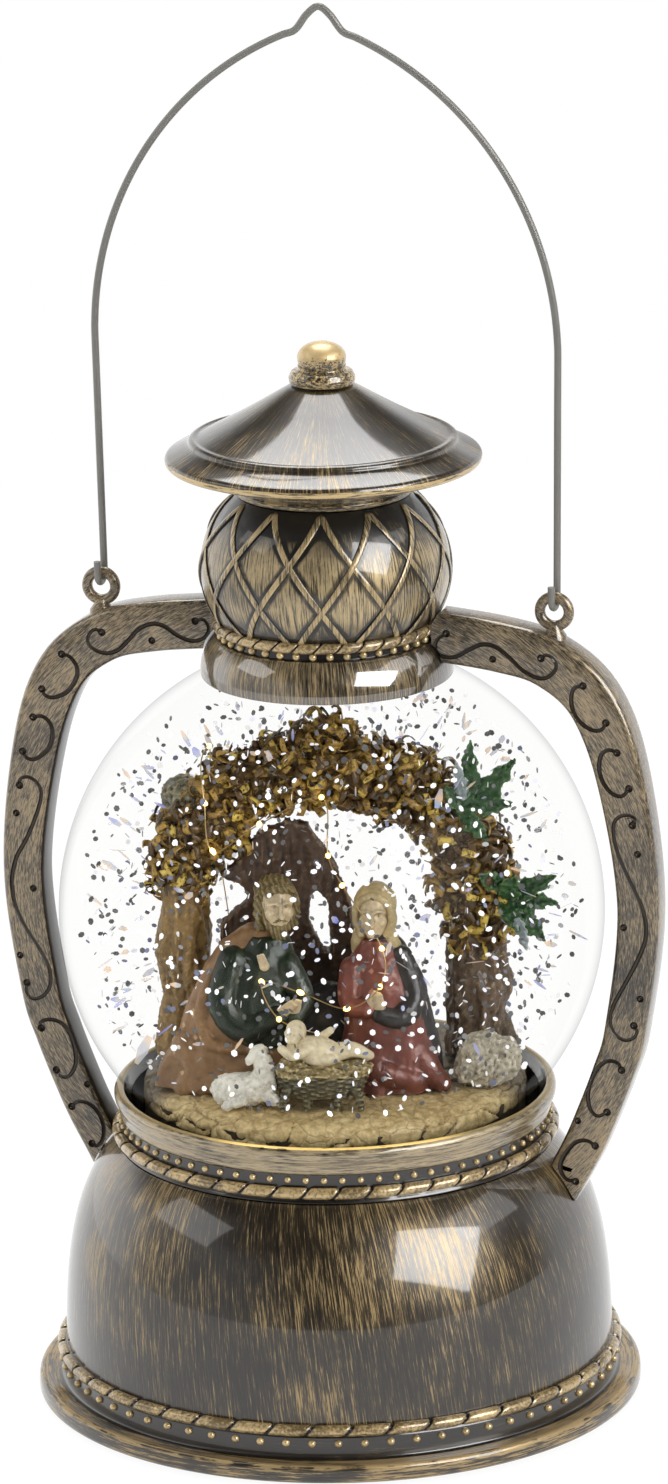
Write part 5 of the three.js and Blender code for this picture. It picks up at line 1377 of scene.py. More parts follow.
# %% Painted resin
def painted(name, colour, wash=(0.05, 0.03, 0.015), tip=None, size=3.0, rough_at=0.55, wash_share=0.5, coat=0.25):
    """Hand paint on resin: a base colour, a dark wash in the hollows and a dry-brushed tip."""
    finish = Finish(name)
    fine = finish.noise(1000 / size * 2.5, 4.0, 0.65)
    broad = finish.noise(1000 / size * 0.45, 3.0)
    hollow = finish.add("ShaderNodeNewGeometry", out="Pointiness")
    low = finish.step(hollow + (fine - 0.5) * 0.12, 0.5, 0.42)
    high = finish.step(hollow + (fine - 0.5) * 0.1, 0.515, 0.58)
    shade = finish.blend(finish.step(broad * 0.55 + fine * 0.45, 0.36, 0.62), tuple(c * 0.6 for c in colour), colour)
    shade = finish.blend(low * wash_share, shade, wash)
    shade = finish.blend(high * 0.7, shade, tip or tuple(min(1, c * 1.7 + 0.04) for c in colour))
    return finish.done(
        base_color=shade, roughness=rough_at, coat_weight=coat, coat_roughness=0.2,
        normal=finish.bump(fine, 0.5, 0.12),
    )


print("painted resin ready")

# %% [markdown]
# The ground is a slab of sandy stone with cracks, seated on the stopper in the globe's neck. A
# port behind the figures lets the water through to the impeller. The cracks are cut where the
# cells of a Voronoi pattern meet, so they branch as those of dry stone do.

# %% Ground
def slab_finish():
    finish = Finish("sand_stone")
    fine = finish.noise(700.0, 5.0, 0.65)
    warp = finish.add("ShaderNodeVectorMath", {"operation": "SCALE"},
                      {0: finish.noise(120.0).out("Color"), "Scale": 0.006})
    bent = finish.add("ShaderNodeVectorMath", {"operation": "ADD"}, {0: finish.place, 1: warp})
    cells = finish.add("ShaderNodeTexVoronoi", {"feature": "DISTANCE_TO_EDGE"}, {"Vector": bent, "Scale": 190.0})
    hollow = finish.add("ShaderNodeNewGeometry", out="Pointiness")
    crack = (finish.step(cells, 0.05, 0.0) * 0.35).maths("MAXIMUM", finish.step(hollow, 0.485, 0.42))
    forward = finish.y * math.cos(TURN) - finish.x * math.sin(TURN)
    broad = finish.noise(90.0, 3.0)
    sand = finish.blend(finish.step(fine * 0.6 + broad * 0.4, 0.35, 0.65), (0.42, 0.29, 0.11), (0.86, 0.68, 0.35))
    sand = finish.blend(crack * 0.85, sand, (0.11, 0.062, 0.022))
    # painted shade: towards the back, behind the figures, the slab turns near black
    sand = finish.blend(finish.step(forward, -0.02, -0.008) * 0.85, sand, (0.03, 0.02, 0.012))
    return finish.done(
        base_color=sand, roughness=0.6, coat_weight=0.15,
        normal=finish.bump(fine * 0.4 - crack, 0.8, 0.35),
    )


sand_stone = slab_finish()
EDGE_R, EDGE_FOOT = 35.5, 57.4  # the slab's side reaches down inside the collar's lip
slab_outline = [
    (0, 59.8), (34.6, 59.8), (34.6, EDGE_FOOT), (EDGE_R, EDGE_FOOT),
    *rounded([(EDGE_R, EDGE_FOOT), (EDGE_R, 60.0, 1.6), (34.2, 61.6, 1.6), (31.5, 62.05, 1.5), (0, 62.05)], 5)[1:],
]


def cracked(p, n):
    """Broken stone: rounded blocks with narrow cracks between them, on the rim and the top."""
    if p.z < 60.5 and p.xy.length < 34.9:
        return 0.0
    bent = Vector((p.x, p.y, p.z * 2.2)) + Vector((rough(p, 5, 3), rough(p, 5, 4), rough(p, 5, 5))) * 1.6
    near, next_one = noise.voronoi(bent / 10)[0][:2]
    crack = max(0.0, 1 - (next_one - near) / 0.13)
    return min(0.04, 0.14 * rough(p, 3.2, 2) + 0.05 * rough(p, 0.9, 6) - 0.5 * crack - 0.02)


slab = clay("ground_slab", [flat_spin(slab_outline, 160)], sand_stone, "ground_disc", 0.34, 1, cracked)
port = spare("port", tube([(0, 7, 50), (0, 7, 70)], 6.5, 40))
port.data.transform(Matrix.Rotation(TURN, 4, "Z"))
lead_hole = spare("lead_hole", tube([(-25, 15.5, 50), (-25, 15.5, 70)], 1.0, 16))
carve(slab, port, lead_hole)
print("ground faces:", len(slab.data.polygons))

# %% [markdown]
# Two rough pillars and a broken back wall hold the roof. They are modelled as weathered wood and
# stone: strong grain that runs up, chipped edges, a dark wash in the cracks.

# %% Pillars
bark_paint = painted("bark_paint", (0.2, 0.13, 0.075), (0.02, 0.012, 0.007), (0.5, 0.37, 0.22), 3.5, 0.6, 0.8)
gold_bark = painted("gold_bark", (0.34, 0.21, 0.07), (0.03, 0.016, 0.006), (0.72, 0.5, 0.2), 3.0, 0.55, 0.8)
dark_wall = painted("dark_wall", (0.09, 0.05, 0.028), (0.01, 0.006, 0.004), (0.3, 0.19, 0.1), 3.0, 0.6, 0.9)
grey_rock = painted("grey_rock", (0.6, 0.54, 0.4), (0.12, 0.09, 0.05), (0.95, 0.9, 0.75), 3.0, 0.6, 0.8)


def craggy(seed, depth=0.7, size=4.0, upright=0.35):
    """Work for clay: broken lumps with grain that runs up."""
    def work(p, n):
        slim = Vector((p.x, p.y, p.z * upright))
        ridge = 1 - 2 * abs(rough(slim, size, seed))
        return depth * (ridge - 0.75) + 0.22 * rough(p, 0.9, seed + 3)
    return work


left_rings = [(-27.5, 6, GROUND_Z, 5.3, 6), (-27.9, 6, 66, 5.6, 6.2), (-26.9, 6, 75, 4.7, 5.6),
              (-27.9, 6, 84, 5.2, 6.0), (-26.8, 6, 93, 4.6, 5.4), (-27.4, 6, 99, 4.4, 5)]
right_rings = [(27, 4.5, GROUND_Z, 6.3, 5.7), (27.4, 4.5, 65, 6.6, 5.9), (26.4, 4.5, 71, 5.6, 5.2),
               (27.2, 4.5, 77, 6.1, 5.6), (26.6, 4.5, 84, 5.5, 5.0), (27, 4.5, 88.5, 5.2, 4.7)]
pillar_left = clay(
    "pillar_left_bark", [robe(left_rings, 5, 0.06, 40, 1.0)], gold_bark, "rock_pillar_left", 0.4, 2, craggy(1.0)
)
clay(
    "pillar_right_bark", [robe(right_rings, 6, 0.07, 40, 2.0)], bark_paint, "rock_pillar_right", 0.4, 2, craggy(5.0)
)
print("pillar faces:", len(pillar_left.data.polygons))

# %% Back wall and rock
def slab_of(outline, front, back):
    """A flat piece between two depths, from an outline of (x, z) points."""
    count = len(outline)
    points = [(x, front, z) for x, z in outline] + [(x, back, z) for x, z in outline]
    faces = [tuple(range(count)), tuple(reversed(range(count, 2 * count)))]
    faces += [(i, (i + 1) % count, (i + 1) % count + count, i + count) for i in range(count)]
    return points, faces


wall_boards = [
    [(-20.6, GROUND_Z), (-8.5, GROUND_Z), (-8.2, 70), (-9, 84), (-9.5, 98), (-8, 108), (-13, 106.8),
     (-17, 101.5), (-20.6, 98.4), (-19.3, 97.4), (-16.2, 96.2), (-15.3, 93.6), (-17.6, 91.6), (-20.6, 89)],
    [(-8.6, 66), (-7.4, 67.5), (-3.5, 71), (4.4, 72), (4.6, 83.6), (-1.6, 83.4), (-4.6, 89.9), (-9, 92)],
    [(-9.2, 90), (-4.3, 89.4), (-3.8, 94.4), (-2.4, 95.2), (-0.8, 93.4), (-0.3, 85), (-0.5, 82), (4.6, 83),
     (3.6, 92.2), (1.2, 99.2), (-1.4, 103.8), (-4, 107.6), (-8.4, 108.8)],
]
back_wall = clay(
    "stable_boards", [slab_of(b, 2.4, 5.6) for b in wall_boards], dark_wall, "stable_wall", 0.4, 2,
    craggy(9.0, 0.45, 2.6, 0.25),
)
rock_lumps = [
    lump(27.2, -11.3, 65.5, 5.3, 4.6, 4.6, (0, 10, 20)), lump(26.2, -12.2, 68.5, 3.4, 3.0, 3.4),
    lump(28.6, -11, 67.5, 3.4, 3.2, 4.6, (0, -15, 0)), lump(24.4, -12.5, 64.4, 2.8, 2.4, 2.4),
    lump(30, -11.5, 64.4, 2.6, 2.8, 2.5), lump(31.4, -10.8, 66.2, 3.0, 3.0, 4.6, (0, 12, 0)),
]
clay("pale_boulder", rock_lumps, grey_rock, "pale_rock", 0.3, 1, craggy(13.0, 0.55, 2.6, 0.8))
print("wall faces:", len(back_wall.data.polygons))

# %% [markdown]
# The roof is an arch of wood shavings and moss, glued over a core. The core is clay along a curve.
# The shavings are a rule: thousands of thin curled strips, scattered over the core, each turned
# and sized by chance from a fixed seed. Geometry Nodes scatters them on the core's own skin.

# %% Roof core
roof_route = [(-27.3, 6, 98.4), (-26, 6, 105), (-19.5, 6, 112.5), (-10, 6, 116.2), (0, 5.5, 118.3),
              (10, 5, 116.3), (19, 4.5, 111.2), (25.3, 4.5, 103), (27.4, 4.5, 95), (27, 4.5, 88)]
roof_paint = painted("roof_paint", (0.17, 0.1, 0.03), (0.02, 0.011, 0.004), (0.6, 0.4, 0.09), 2.6, 0.6, 0.9)


def roof_work(p, n):
    return 1.5 * rough(p, 4.2, 21) + 0.9 * rough(p, 1.7, 22) - 0.4


roof_lumps = [
    limb(roof_route, [4.6, 4.9, 5.2, 4.9, 5.3, 5.2, 5.0, 5.0, 4.9, 4.4], 18),
    lump(-16.6, 5, 118.2, 2.5, 2.4, 2.8), lump(-0.6, 5, 124.2, 2.6, 2.6, 3.6), lump(6, 5, 121, 3.4, 3, 3),
    lump(-20.5, 4, 107, 3.4, 3, 4), lump(20, 3.5, 106, 3.2, 3, 5), lump(22.5, 3, 95, 3.4, 3.4, 3.4),
    lump(13, 3.4, 112, 3.6, 3, 3.6), lump(-26, 3.5, 101, 3.2, 3, 4),
]
roof_core = clay("thatch_core", roof_lumps, roof_paint, "thatch_roof", 0.42, 2, roof_work)
clay(
    "moss_lump", [lump(-27.2, 5.4, 113.2, 3.9, 3.4, 4.0, (0, 20, 0)), lump(-24.8, 5.4, 111.4, 3, 3, 3)],
    painted("grey_moss", (0.22, 0.2, 0.12), (0.03, 0.025, 0.012), (0.5, 0.47, 0.33), 2.0, 0.7, 0.8),
    "thatch_roof", 0.35, 2, craggy(31.0, 0.6, 2.2, 1.0),
)
print("roof core faces:", len(roof_core.data.polygons))

# %% Shavings
shavings = Growth("shavings", per_square_metre=430000.0, length=8.6, width=1.25, seed=3)
skin_in = shavings.graph.interface.new_socket("Skin", in_out="INPUT", socket_type="NodeSocketGeometry")
shavings.graph.interface.move(skin_in, 0)
per_square_metre, length, width, seed = shavings.sizes()
length = length * MM
scatter = shavings.add(
    "GeometryNodeDistributePointsOnFaces", {},
    {"Mesh": shavings.given.out("Skin"), "Density": per_square_metre, "Seed": seed},
)
line = shavings.add("GeometryNodeCurvePrimitiveLine", {}, {"End": shavings.vector(length, 0.0, 0.0)})
line = shavings.add("GeometryNodeResampleCurve", {}, {"Curve": line, "Count": 9})
along, _, _ = shavings.place_of()
share = along / length
CURL = 2.7  # radians that a strip curls over its length
curl = share * CURL
bent = shavings.moved(
    line,
    curl.maths("SINE") * (length / CURL),
    (share * 2.6).maths("SINE") * (1.5 * MM),
    (1 - curl.maths("COSINE")) * (length / (CURL * 1.9)) - 0.6 * MM,
)
strip_edge = shavings.add("GeometryNodeCurvePrimitiveQuadrilateral", {},
                          {"Width": width * MM, "Height": width * (0.22 * MM)})
thin = (share * math.pi).maths("SINE") * 0.8 + 0.25
bent = shavings.add("GeometryNodeSetCurveRadius", {}, {"Curve": bent, "Radius": thin})
strip = shavings.add(
    "GeometryNodeCurveToMesh", {}, {"Curve": bent, "Profile Curve": strip_edge, "Scale": thin, "Fill Caps": True}
)


def chance(graph, low, high, seed):
    """A random vector between two vectors, one per point."""
    return graph.add(
        "FunctionNodeRandomValue", {"data_type": "FLOAT_VECTOR"}, {"Min": low, "Max": high, "Seed": seed}
    )


spin = shavings.add(
    "FunctionNodeRotateRotation", {"rotation_space": "LOCAL"},
    {0: scatter.out("Rotation"), 1: chance(shavings, (-0.45, -0.5, 0.0), (0.45, 0.25, 6.28), 5)},
)
curls = shavings.add(
    "GeometryNodeInstanceOnPoints", {},
    {"Points": scatter, "Instance": strip, "Rotation": spin,
     "Scale": chance(shavings, (0.5, 0.6, 0.5), (1.15, 1.4, 1.2), 9)},
)
shade_of = shavings.add("FunctionNodeRandomValue", {"data_type": "FLOAT"}, {"Seed": 12}, out=1)
shavings.close(shavings.marked(curls, "shade", shade_of, "INSTANCE"))
print("shaving inputs:", list(shavings.keys))

# %% Shavings on the roof
def shaving_finish():
    finish = Finish("shaving_gold")
    shade = finish.attribute("shade")
    fine = finish.noise(1500.0, 3.0)
    front = finish.step(finish.noise(70.0, 2.0) + (shade - 0.5) * 0.5, 0.36, 0.62)
    straw = finish.blend(front, (0.13, 0.07, 0.02), (0.5, 0.31, 0.06))
    straw = finish.blend(finish.step(shade, 0.3, 0.2), straw, (0.09, 0.055, 0.02))
    straw = finish.blend(finish.step(shade, 0.86, 0.92), straw, (0.85, 0.62, 0.12))
    straw = finish.blend(finish.step(fine, 0.5, 0.35), straw, (0.12, 0.06, 0.02))
    return finish.done(
        base_color=straw, roughness=0.5, coat_weight=0.3, coat_roughness=0.2,
        normal=finish.bump(fine, 0.5, 0.1)
    )


shaving_gold = shaving_finish()
roof_shavings = shavings.grow("roof_shavings", shaving_gold, skin=roof_core.data)
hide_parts("thatch_roof")
print("shaving faces:", len(roof_shavings.data.polygons))

# %% [markdown]
# The leaves are thick, notched blades of green resin, bent down at the tip. Each blade is a grid
# of points: the outline gets its notches from a wave along its length and the midrib is a groove.

# %% Leaves
THICK, NOTCHES, DROOP = 0.9, 4, 0.6


def blade(root, tip, width, seed=0):
    """One leaf from its root to its tip."""
    root, tip = Vector(root), Vector(tip)
    run = tip - root
    length = run.length
    forward = run.normalized()
    side = forward.cross(Vector((0, -1, 0.25))).normalized()
    face = side.cross(forward).normalized()
    points, faces = [], []
    rows, columns = 26, 13
    for layer in (1, -1):
        for i in range(rows + 1):
            u = i / rows
            full = math.sin(math.pi * min(1, 0.06 + 0.94 * u) ** 0.8) ** 0.7
            notch = 1 - 0.32 * abs(math.sin(math.pi * NOTCHES * u + 0.4)) ** 3
            half = max(0.12, width / 2 * full * notch)
            for k in range(columns):
                v = -1 + 2 * k / (columns - 1)
                bump = 0.4 * noise.noise(Vector((u * 5 + seed, v * 2, seed)))
                rib = -0.35 * math.exp(-((v / 0.16) ** 2)) + 0.3 * abs(v)
                rib += 0.12 * math.sin(u * 26 + abs(v) * 5)
                height = layer * THICK / 2 * (1 - abs(v) ** 4) * min(1, full + 0.3) + rib * width * 0.12 + bump
                points.append(tuple(
                    root + forward * (u * length) + side * (v * half) + face * (height - DROOP * u * u * 2)
                ))
    per = (rows + 1) * columns
    for i in range(rows):
        for k in range(columns - 1):
            a, b, c, d = (i * columns + k, i * columns + k + 1, (i + 1) * columns + k + 1, (i + 1) * columns + k)
            faces += [(a, b, c, d), (d + per, c + per, b + per, a + per)]
    rim = [k for k in range(columns)] + [i * columns + columns - 1 for i in range(1, rows + 1)]
    rim += [rows * columns + k for k in range(columns - 2, -1, -1)] + [i * columns for i in range(rows - 1, 0, -1)]
    for a, b in zip(rim, rim[1:] + rim[:1]):
        faces.append((b, a, a + per, b + per))
    return points, faces


print("leaf helper ready")

# %% Leaf sprays
leaf_green = painted("leaf_green", (0.035, 0.11, 0.03), (0.006, 0.016, 0.01), (0.16, 0.3, 0.09), 2.5, 0.5, 0.8)
leaf_pale = painted("leaf_pale", (0.3, 0.36, 0.36), (0.1, 0.13, 0.13), (0.62, 0.68, 0.68), 2.5, 0.45, 0.5)
top_root, side_root = (25.4, -1.4, 111.2), (32.1, 0, 93.9)
sprays = {
    "leaf_spray_top": [
        (top_root, (25.9, -3, 124.6), 4.6), (top_root, (34, -4, 121.5), 4.8),
        ((24, -1.6, 112.5), (33.2, -5, 113.3), 5),
        (top_root, (21.2, -5, 116.6), 4.4), ((24, -1, 111), (28.5, -5.4, 106.8), 4.2),
    ],
    "leaf_spray_side": [
        (side_root, (41, -3, 98.7), 4.8), (side_root, (41.6, -2, 93.2), 4.6), (side_root, (39.2, -4, 86.6), 5.2),
        ((32, -1, 94), (33.5, -6, 99), 5), (side_root, (34, -7.6, 90), 4.6),
        ((31.5, -1, 96.5), (27.6, -4.6, 99.4), 4.4),
    ],
}
for spray_node, blades in sprays.items():
    leaves = [blade(a, b, w * 1.05, seed=i * 3.1 + len(spray_node)) for i, (a, b, w) in enumerate(blades)]
    stems = limb([blades[0][0], (blades[0][0][0] - 2, 1.5, blades[0][0][2] - 1.5)], [0.9, 0.8])
    clay(spray_node + "_leaves", [*leaves, stems], leaf_green, spray_node, 0.26, 1, craggy(41.0, 0.22, 1.6, 1.0))
clay("pale_leaf_top", [blade((24.6, -3.6, 114), (23.2, -5.6, 121.4), 2.9, seed=8.8)], leaf_pale, "leaf_spray_top",
     0.24, 1)
clay("pale_leaf_side", [blade((33.9, -5, 91.5), (35.6, -8.2, 86.4), 2.9, seed=5.8)], leaf_pale, "leaf_spray_side",
     0.24, 1)

# %% [markdown]
# A head is the part a viewer looks at first, so it gets its own builder. It follows the usual
# drawing proportions: eyes halfway down, the nose ending halfway from the eyes to the chin, the
# mouth a third below that. The faces are calm and plain. Hair, beard or veil are separate pieces,
# as they are painted separately.

# %% Heads
def placed(shape, middle, size, yaw, pitch=0.0, tilt=0.0):
    """A shape from the head's own frame (one unit tall, facing -Y) put in its place."""
    turn = leaned(pitch, tilt, yaw)
    return [tuple(turn @ Vector(p) * size + Vector(middle)) for p in shape[0]], shape[1]


def bare_head():
    """Skull, brow, nose, cheeks, lips, chin and neck."""
    parts = [
        lump(0, 0.05, 0.1, 0.35, 0.41, 0.38), lump(0, -0.12, -0.12, 0.28, 0.26, 0.37),
        lump(0, -0.21, -0.37, 0.155, 0.14, 0.115), lump(-0.17, -0.24, -0.12, 0.11, 0.12, 0.13),
        lump(0.17, -0.24, -0.12, 0.11, 0.12, 0.13),
        limb([(0, -0.36, 0.05), (0, -0.405, -0.04), (0, -0.455, -0.14)], [0.03, 0.038, 0.055]),
        lump(-0.05, -0.38, -0.145, 0.035, 0.045, 0.035), lump(0.05, -0.38, -0.145, 0.035, 0.045, 0.035),
        limb([(-0.22, -0.3, 0.08), (-0.1, -0.365, 0.1), (0, -0.36, 0.07), (0.1, -0.365, 0.1), (0.22, -0.3, 0.08)],
             [0.03, 0.04, 0.03, 0.04, 0.03]),
        limb([(-0.09, -0.33, -0.265), (0, -0.365, -0.255), (0.09, -0.33, -0.265)], [0.018, 0.03, 0.018]),
        limb([(-0.07, -0.325, -0.295), (0, -0.36, -0.3), (0.07, -0.325, -0.295)], [0.02, 0.034, 0.02]),
        limb([(0, 0.02, -0.25), (0, 0.06, -0.62)], [0.17, 0.2]),
    ]
    for side in (-1, 1):
        parts.append(lump(side * 0.125, -0.315, 0.0, 0.058, 0.035, 0.03))
        parts.append(lump(side * 0.34, 0.03, -0.03, 0.03, 0.06, 0.09))
    return merged(*parts)


def head_work(middle, size, yaw):
    """Eye sockets pressed in under the brow."""
    turn = Matrix.Rotation(math.radians(yaw), 3, "Z")
    sockets = [turn @ Vector((side * 0.125, -0.36, 0.035)) * size + Vector(middle) for side in (-1, 1)]

    def work(p, n):
        return -sum(0.05 * size * math.exp(-((p - s).length / (0.055 * size)) ** 2) for s in sockets)
    return work


print("head helpers ready")

# %% Figure paints
skin_paint = painted("skin_paint", (0.8, 0.64, 0.4), (0.18, 0.1, 0.04), (0.95, 0.84, 0.6), 4.0, 0.5, 0.7)
hair_brown = painted("hair_brown", (0.2, 0.145, 0.05), (0.03, 0.02, 0.008), (0.42, 0.33, 0.14), 2.0, 0.55, 0.85)
veil_gold = painted("veil_gold", (0.62, 0.48, 0.24), (0.12, 0.075, 0.03), (0.9, 0.78, 0.5), 4.0, 0.5, 0.8)
mantle_brown = painted("mantle_brown", (0.36, 0.2, 0.085), (0.05, 0.024, 0.01), (0.7, 0.47, 0.24), 6.0, 0.5, 0.9)
tunic_green = painted("tunic_green", (0.011, 0.021, 0.008), (0.004, 0.005, 0.003), (0.06, 0.14, 0.04), 5.0, 0.5, 0.9)
dress_red = painted("dress_red", (0.2, 0.055, 0.035), (0.025, 0.009, 0.006), (0.6, 0.29, 0.2), 5.0, 0.5, 0.95)
cloak_dark = painted("cloak_dark", (0.03, 0.026, 0.024), (0.008, 0.007, 0.006), (0.12, 0.115, 0.11), 4.0, 0.5, 0.9)
cream_paint = painted("cream_paint", (0.9, 0.78, 0.52), (0.38, 0.25, 0.1), (0.97, 0.92, 0.74), 3.0, 0.5, 0.8)
fleece_paint = painted("fleece_paint", (0.95, 0.92, 0.8), (0.45, 0.4, 0.27), (0.98, 0.97, 0.9), 2.2, 0.6, 0.8)
wicker_paint = painted("wicker_paint", (0.1, 0.085, 0.04), (0.015, 0.012, 0.007), (0.33, 0.28, 0.14), 2.0, 0.6, 0.9)
hay_paint = painted("hay_paint", (0.36, 0.27, 0.11), (0.04, 0.028, 0.01), (0.8, 0.68, 0.36), 1.4, 0.6, 0.95)


def cloth(seed, depth=0.25, size=5.0):
    """Work for clay: soft creases that run down the cloth."""
    def work(p, n):
        crease = abs(rough(Vector((p.x, p.y, p.z * 0.35)), size, seed))
        return depth * (0.35 - crease) + 0.07 * rough(p, 1.2, seed)
    return work


# %% [markdown]
# The man kneels on the left, a brown mantle over a green tunic, and leans towards the middle. The
# mantle could be draped by simulation, but cast cloth is stiff: rings with folds that fade upwards
# come closer. Each painted part is its own piece.

# %% Man
MAN_HEAD = ((-10.2, -8.6, 96.2), 9.6, 14)  # middle, height and turn in degrees
clay("man_mantle", [
    robe([(-19.4, -8.6, GROUND_Z, 13.6, 7.6), (-19.6, -8.6, 65, 12.9, 7.4), (-18.2, -8.2, 71, 10.6, 7),
          (-17, -7.6, 78, 9.4, 6.6), (-15.6, -7, 84, 7.9, 5.8), (-14.2, -6.6, 88.6, 6, 4.6),
          (-12.6, -6.6, 91.4, 3.6, 3.2)], 9, 0.045, 96, 0.6),
    limb([(-27, -10.5, 70), (-25.4, -12.4, 66), (-27.5, -13.2, 62.8)], [3, 2.8, 2.2]),
    limb([(-14, -14, 68), (-19, -14.8, 65), (-25, -14.6, 63.2)], [2.6, 2.4, 1.8]),
    limb([(-22.6, -10.6, 82.5), (-24.2, -12.2, 76), (-22.4, -14.6, 71.4), (-15.5, -15.6, 70.6)],
         [1.3, 1.3, 1.2, 0.8]),
], mantle_brown, "man_figure", 0.32, 4, cloth(51))
clay("man_tunic", [
    robe([(-14.6, -10.4, 70.5, 7.6, 5.4), (-15, -10.4, 75, 7.4, 5.8), (-14.3, -10.2, 81, 7, 5.4),
          (-12.8, -9.6, 86, 6.2, 4.6), (-11.4, -8.8, 90.4, 3.4, 3.2)], 8, 0.04, 80, 1.9),
    limb([(-18.2, -11, 86), (-20.2, -13.6, 79), (-16.6, -15.6, 74.6), (-10.2, -15.8, 76.6)], [3, 2.9, 2.7, 2]),
    limb([(-8.4, -11.6, 85.4), (-5.6, -13.4, 79.4), (-7.2, -15.2, 76.6)], [2.5, 2.4, 1.9]),
], tunic_green, "man_figure", 0.3, 3, cloth(53))
clay("man_face", [placed(bare_head(), *MAN_HEAD)], skin_paint, "man_figure", 0.15, 2, head_work(*MAN_HEAD))
strands = [limb([(s * 0.3, 0, 0.22), (s * 0.36, -0.06, -0.08), (s * 0.32, -0.02, -0.42)], [0.1, 0.1, 0.09])
           for s in (-1, 1)]
clay("man_hair", [placed(merged(
    lump(0, 0.12, 0.17, 0.4, 0.42, 0.37), lump(0, 0.2, -0.16, 0.36, 0.3, 0.4), *strands,
    limb([(-0.26, -0.2, 0.3), (-0.08, -0.3, 0.37), (0.1, -0.29, 0.37), (0.27, -0.18, 0.29)],
         [0.07, 0.08, 0.08, 0.07]),
), *MAN_HEAD)], hair_brown, "man_figure", 0.2, 2,
    lambda p, n: 0.32 * math.sin(p.z * 3.1 + p.x * 6 + 3 * rough(p, 3, 5)) * 0.5 + 0.15 * rough(p, 1.5, 4))
clay("man_beard", [placed(merged(
    lump(0, -0.24, -0.5, 0.17, 0.13, 0.19), lump(0, -0.27, -0.4, 0.16, 0.11, 0.1),
    limb([(-0.27, -0.12, -0.12), (-0.22, -0.2, -0.32), (-0.08, -0.28, -0.46)], [0.06, 0.08, 0.09]),
    limb([(0.27, -0.12, -0.12), (0.22, -0.2, -0.32), (0.08, -0.28, -0.46)], [0.06, 0.08, 0.09]),
    limb([(-0.12, -0.33, -0.27), (0, -0.375, -0.215), (0.12, -0.33, -0.27)], [0.025, 0.034, 0.025]),
), *MAN_HEAD)], hair_brown, "man_figure", 0.17, 1,
    lambda p, n: 0.12 * math.sin(p.z * 2.0 + p.x * 9))


def hand(wrist, tips, palm=1.2):
    """A closed hand: a palm and four fingers side by side."""
    wrist, tips = Vector(wrist), Vector(tips)
    run = (tips - wrist).normalized()
    side = run.cross(Vector((0, 1, 0))).normalized()
    parts = [lump(*(wrist + run * palm), palm, palm * 0.8, palm)]
    for k in range(4):
        shift = side * (k - 1.5) * palm * 0.42
        parts.append(limb([wrist + run * palm + shift, tips + shift * 0.8], [palm * 0.32, palm * 0.24]))
    return parts


clay("man_hands", [
    *hand((-10.4, -15.9, 76.8), (-7.4, -16.9, 79.6)), *hand((-7.4, -15.4, 77), (-6.6, -16.8, 80.2)),
    *hand((-12.2, -14.2, 85.2), (-13.2, -15, 88.4), 1),
], skin_paint, "man_figure", 0.2, 1)

# %% [markdown]
# The woman kneels on the right in a red dress under a dark cloak, with a pale veil over her hair.
# She is built as the man is, with deeper folds; two dark lumps of her cloak stand in for the shadow between the two.

# %% Woman
WOMAN_HEAD = ((7.8, -10.4, 94.9), 9.4, -8)
clay("woman_dress", [
    robe([(10, -11.4, GROUND_Z, 10.2, 7.6), (10.2, -11.4, 65, 9.6, 7.3), (9.6, -11.2, 72, 7.6, 6.4),
          (9, -11, 80, 6.4, 5.6), (8.4, -10.6, 86, 5.2, 4.6), (8, -10.2, 90, 3, 3)], 8, 0.05, 96, 2.6),
    limb([(5.2, -14, 70), (8, -17.2, 66.6), (14.6, -16.8, 64.4)], [2.8, 2.6, 2.2]),
    limb([(14, -14, 70), (17.2, -15.4, 66), (19.6, -15, 63.2)], [2.6, 2.4, 1.8]),
    limb([(3.6, -12.4, 84.6), (3.2, -14.6, 79), (6.2, -16.4, 78.2)], [2.4, 2.3, 1.7]),
], dress_red, "woman_figure", 0.3, 4, cloth(61, 0.32, 4))
clay("woman_cloak", [
    robe([(15, -8.4, GROUND_Z, 5.4, 6), (14.8, -8.6, 68, 5, 5.8), (13.4, -8.6, 76, 4.6, 5.8),
          (11.8, -8.8, 83, 4.2, 5.2), (9.8, -9, 88.6, 3.4, 4.2), (8.6, -9.2, 91, 2.6, 3.2)], 6, 0.05, 72, 3.3),
    limb([(12.4, -12, 86.6), (14.8, -13.6, 80), (12.2, -16.2, 76.4), (8.4, -17, 77.2)], [2.3, 2.5, 2.4, 1.6]),
    # painted shadow: these two dark cloak lumps fill the gap between the figures
    lump(-1, -6.4, 71, 7, 3.4, 9.6), lump(-6, -7, 67, 5, 3.4, 6),
], cloak_dark, "woman_figure", 0.3, 3, cloth(63))
clay("woman_face", [placed(bare_head(), *WOMAN_HEAD)], skin_paint, "woman_figure", 0.15, 2,
     head_work(*WOMAN_HEAD))
rim = [(-0.25, -0.2, -0.4), (-0.35, -0.2, -0.1), (-0.31, -0.22, 0.2), (0, -0.27, 0.4), (0.31, -0.22, 0.2),
       (0.35, -0.2, -0.1), (0.25, -0.2, -0.4)]
clay("woman_veil", [placed(merged(
    lump(0, 0.14, 0.14, 0.42, 0.44, 0.42), lump(0, 0.18, -0.2, 0.42, 0.36, 0.44), limb(rim, [0.07] * 7),
    limb([(0.3, -0.1, -0.35), (0.36, -0.06, -0.62), (0.5, 0, -0.9)], [0.12, 0.15, 0.12]),
    limb([(-0.3, -0.1, -0.35), (-0.34, -0.04, -0.62), (-0.36, 0, -0.82)], [0.1, 0.13, 0.1]),
), *WOMAN_HEAD)], veil_gold, "woman_figure", 0.22, 2, cloth(65, 0.2, 3))
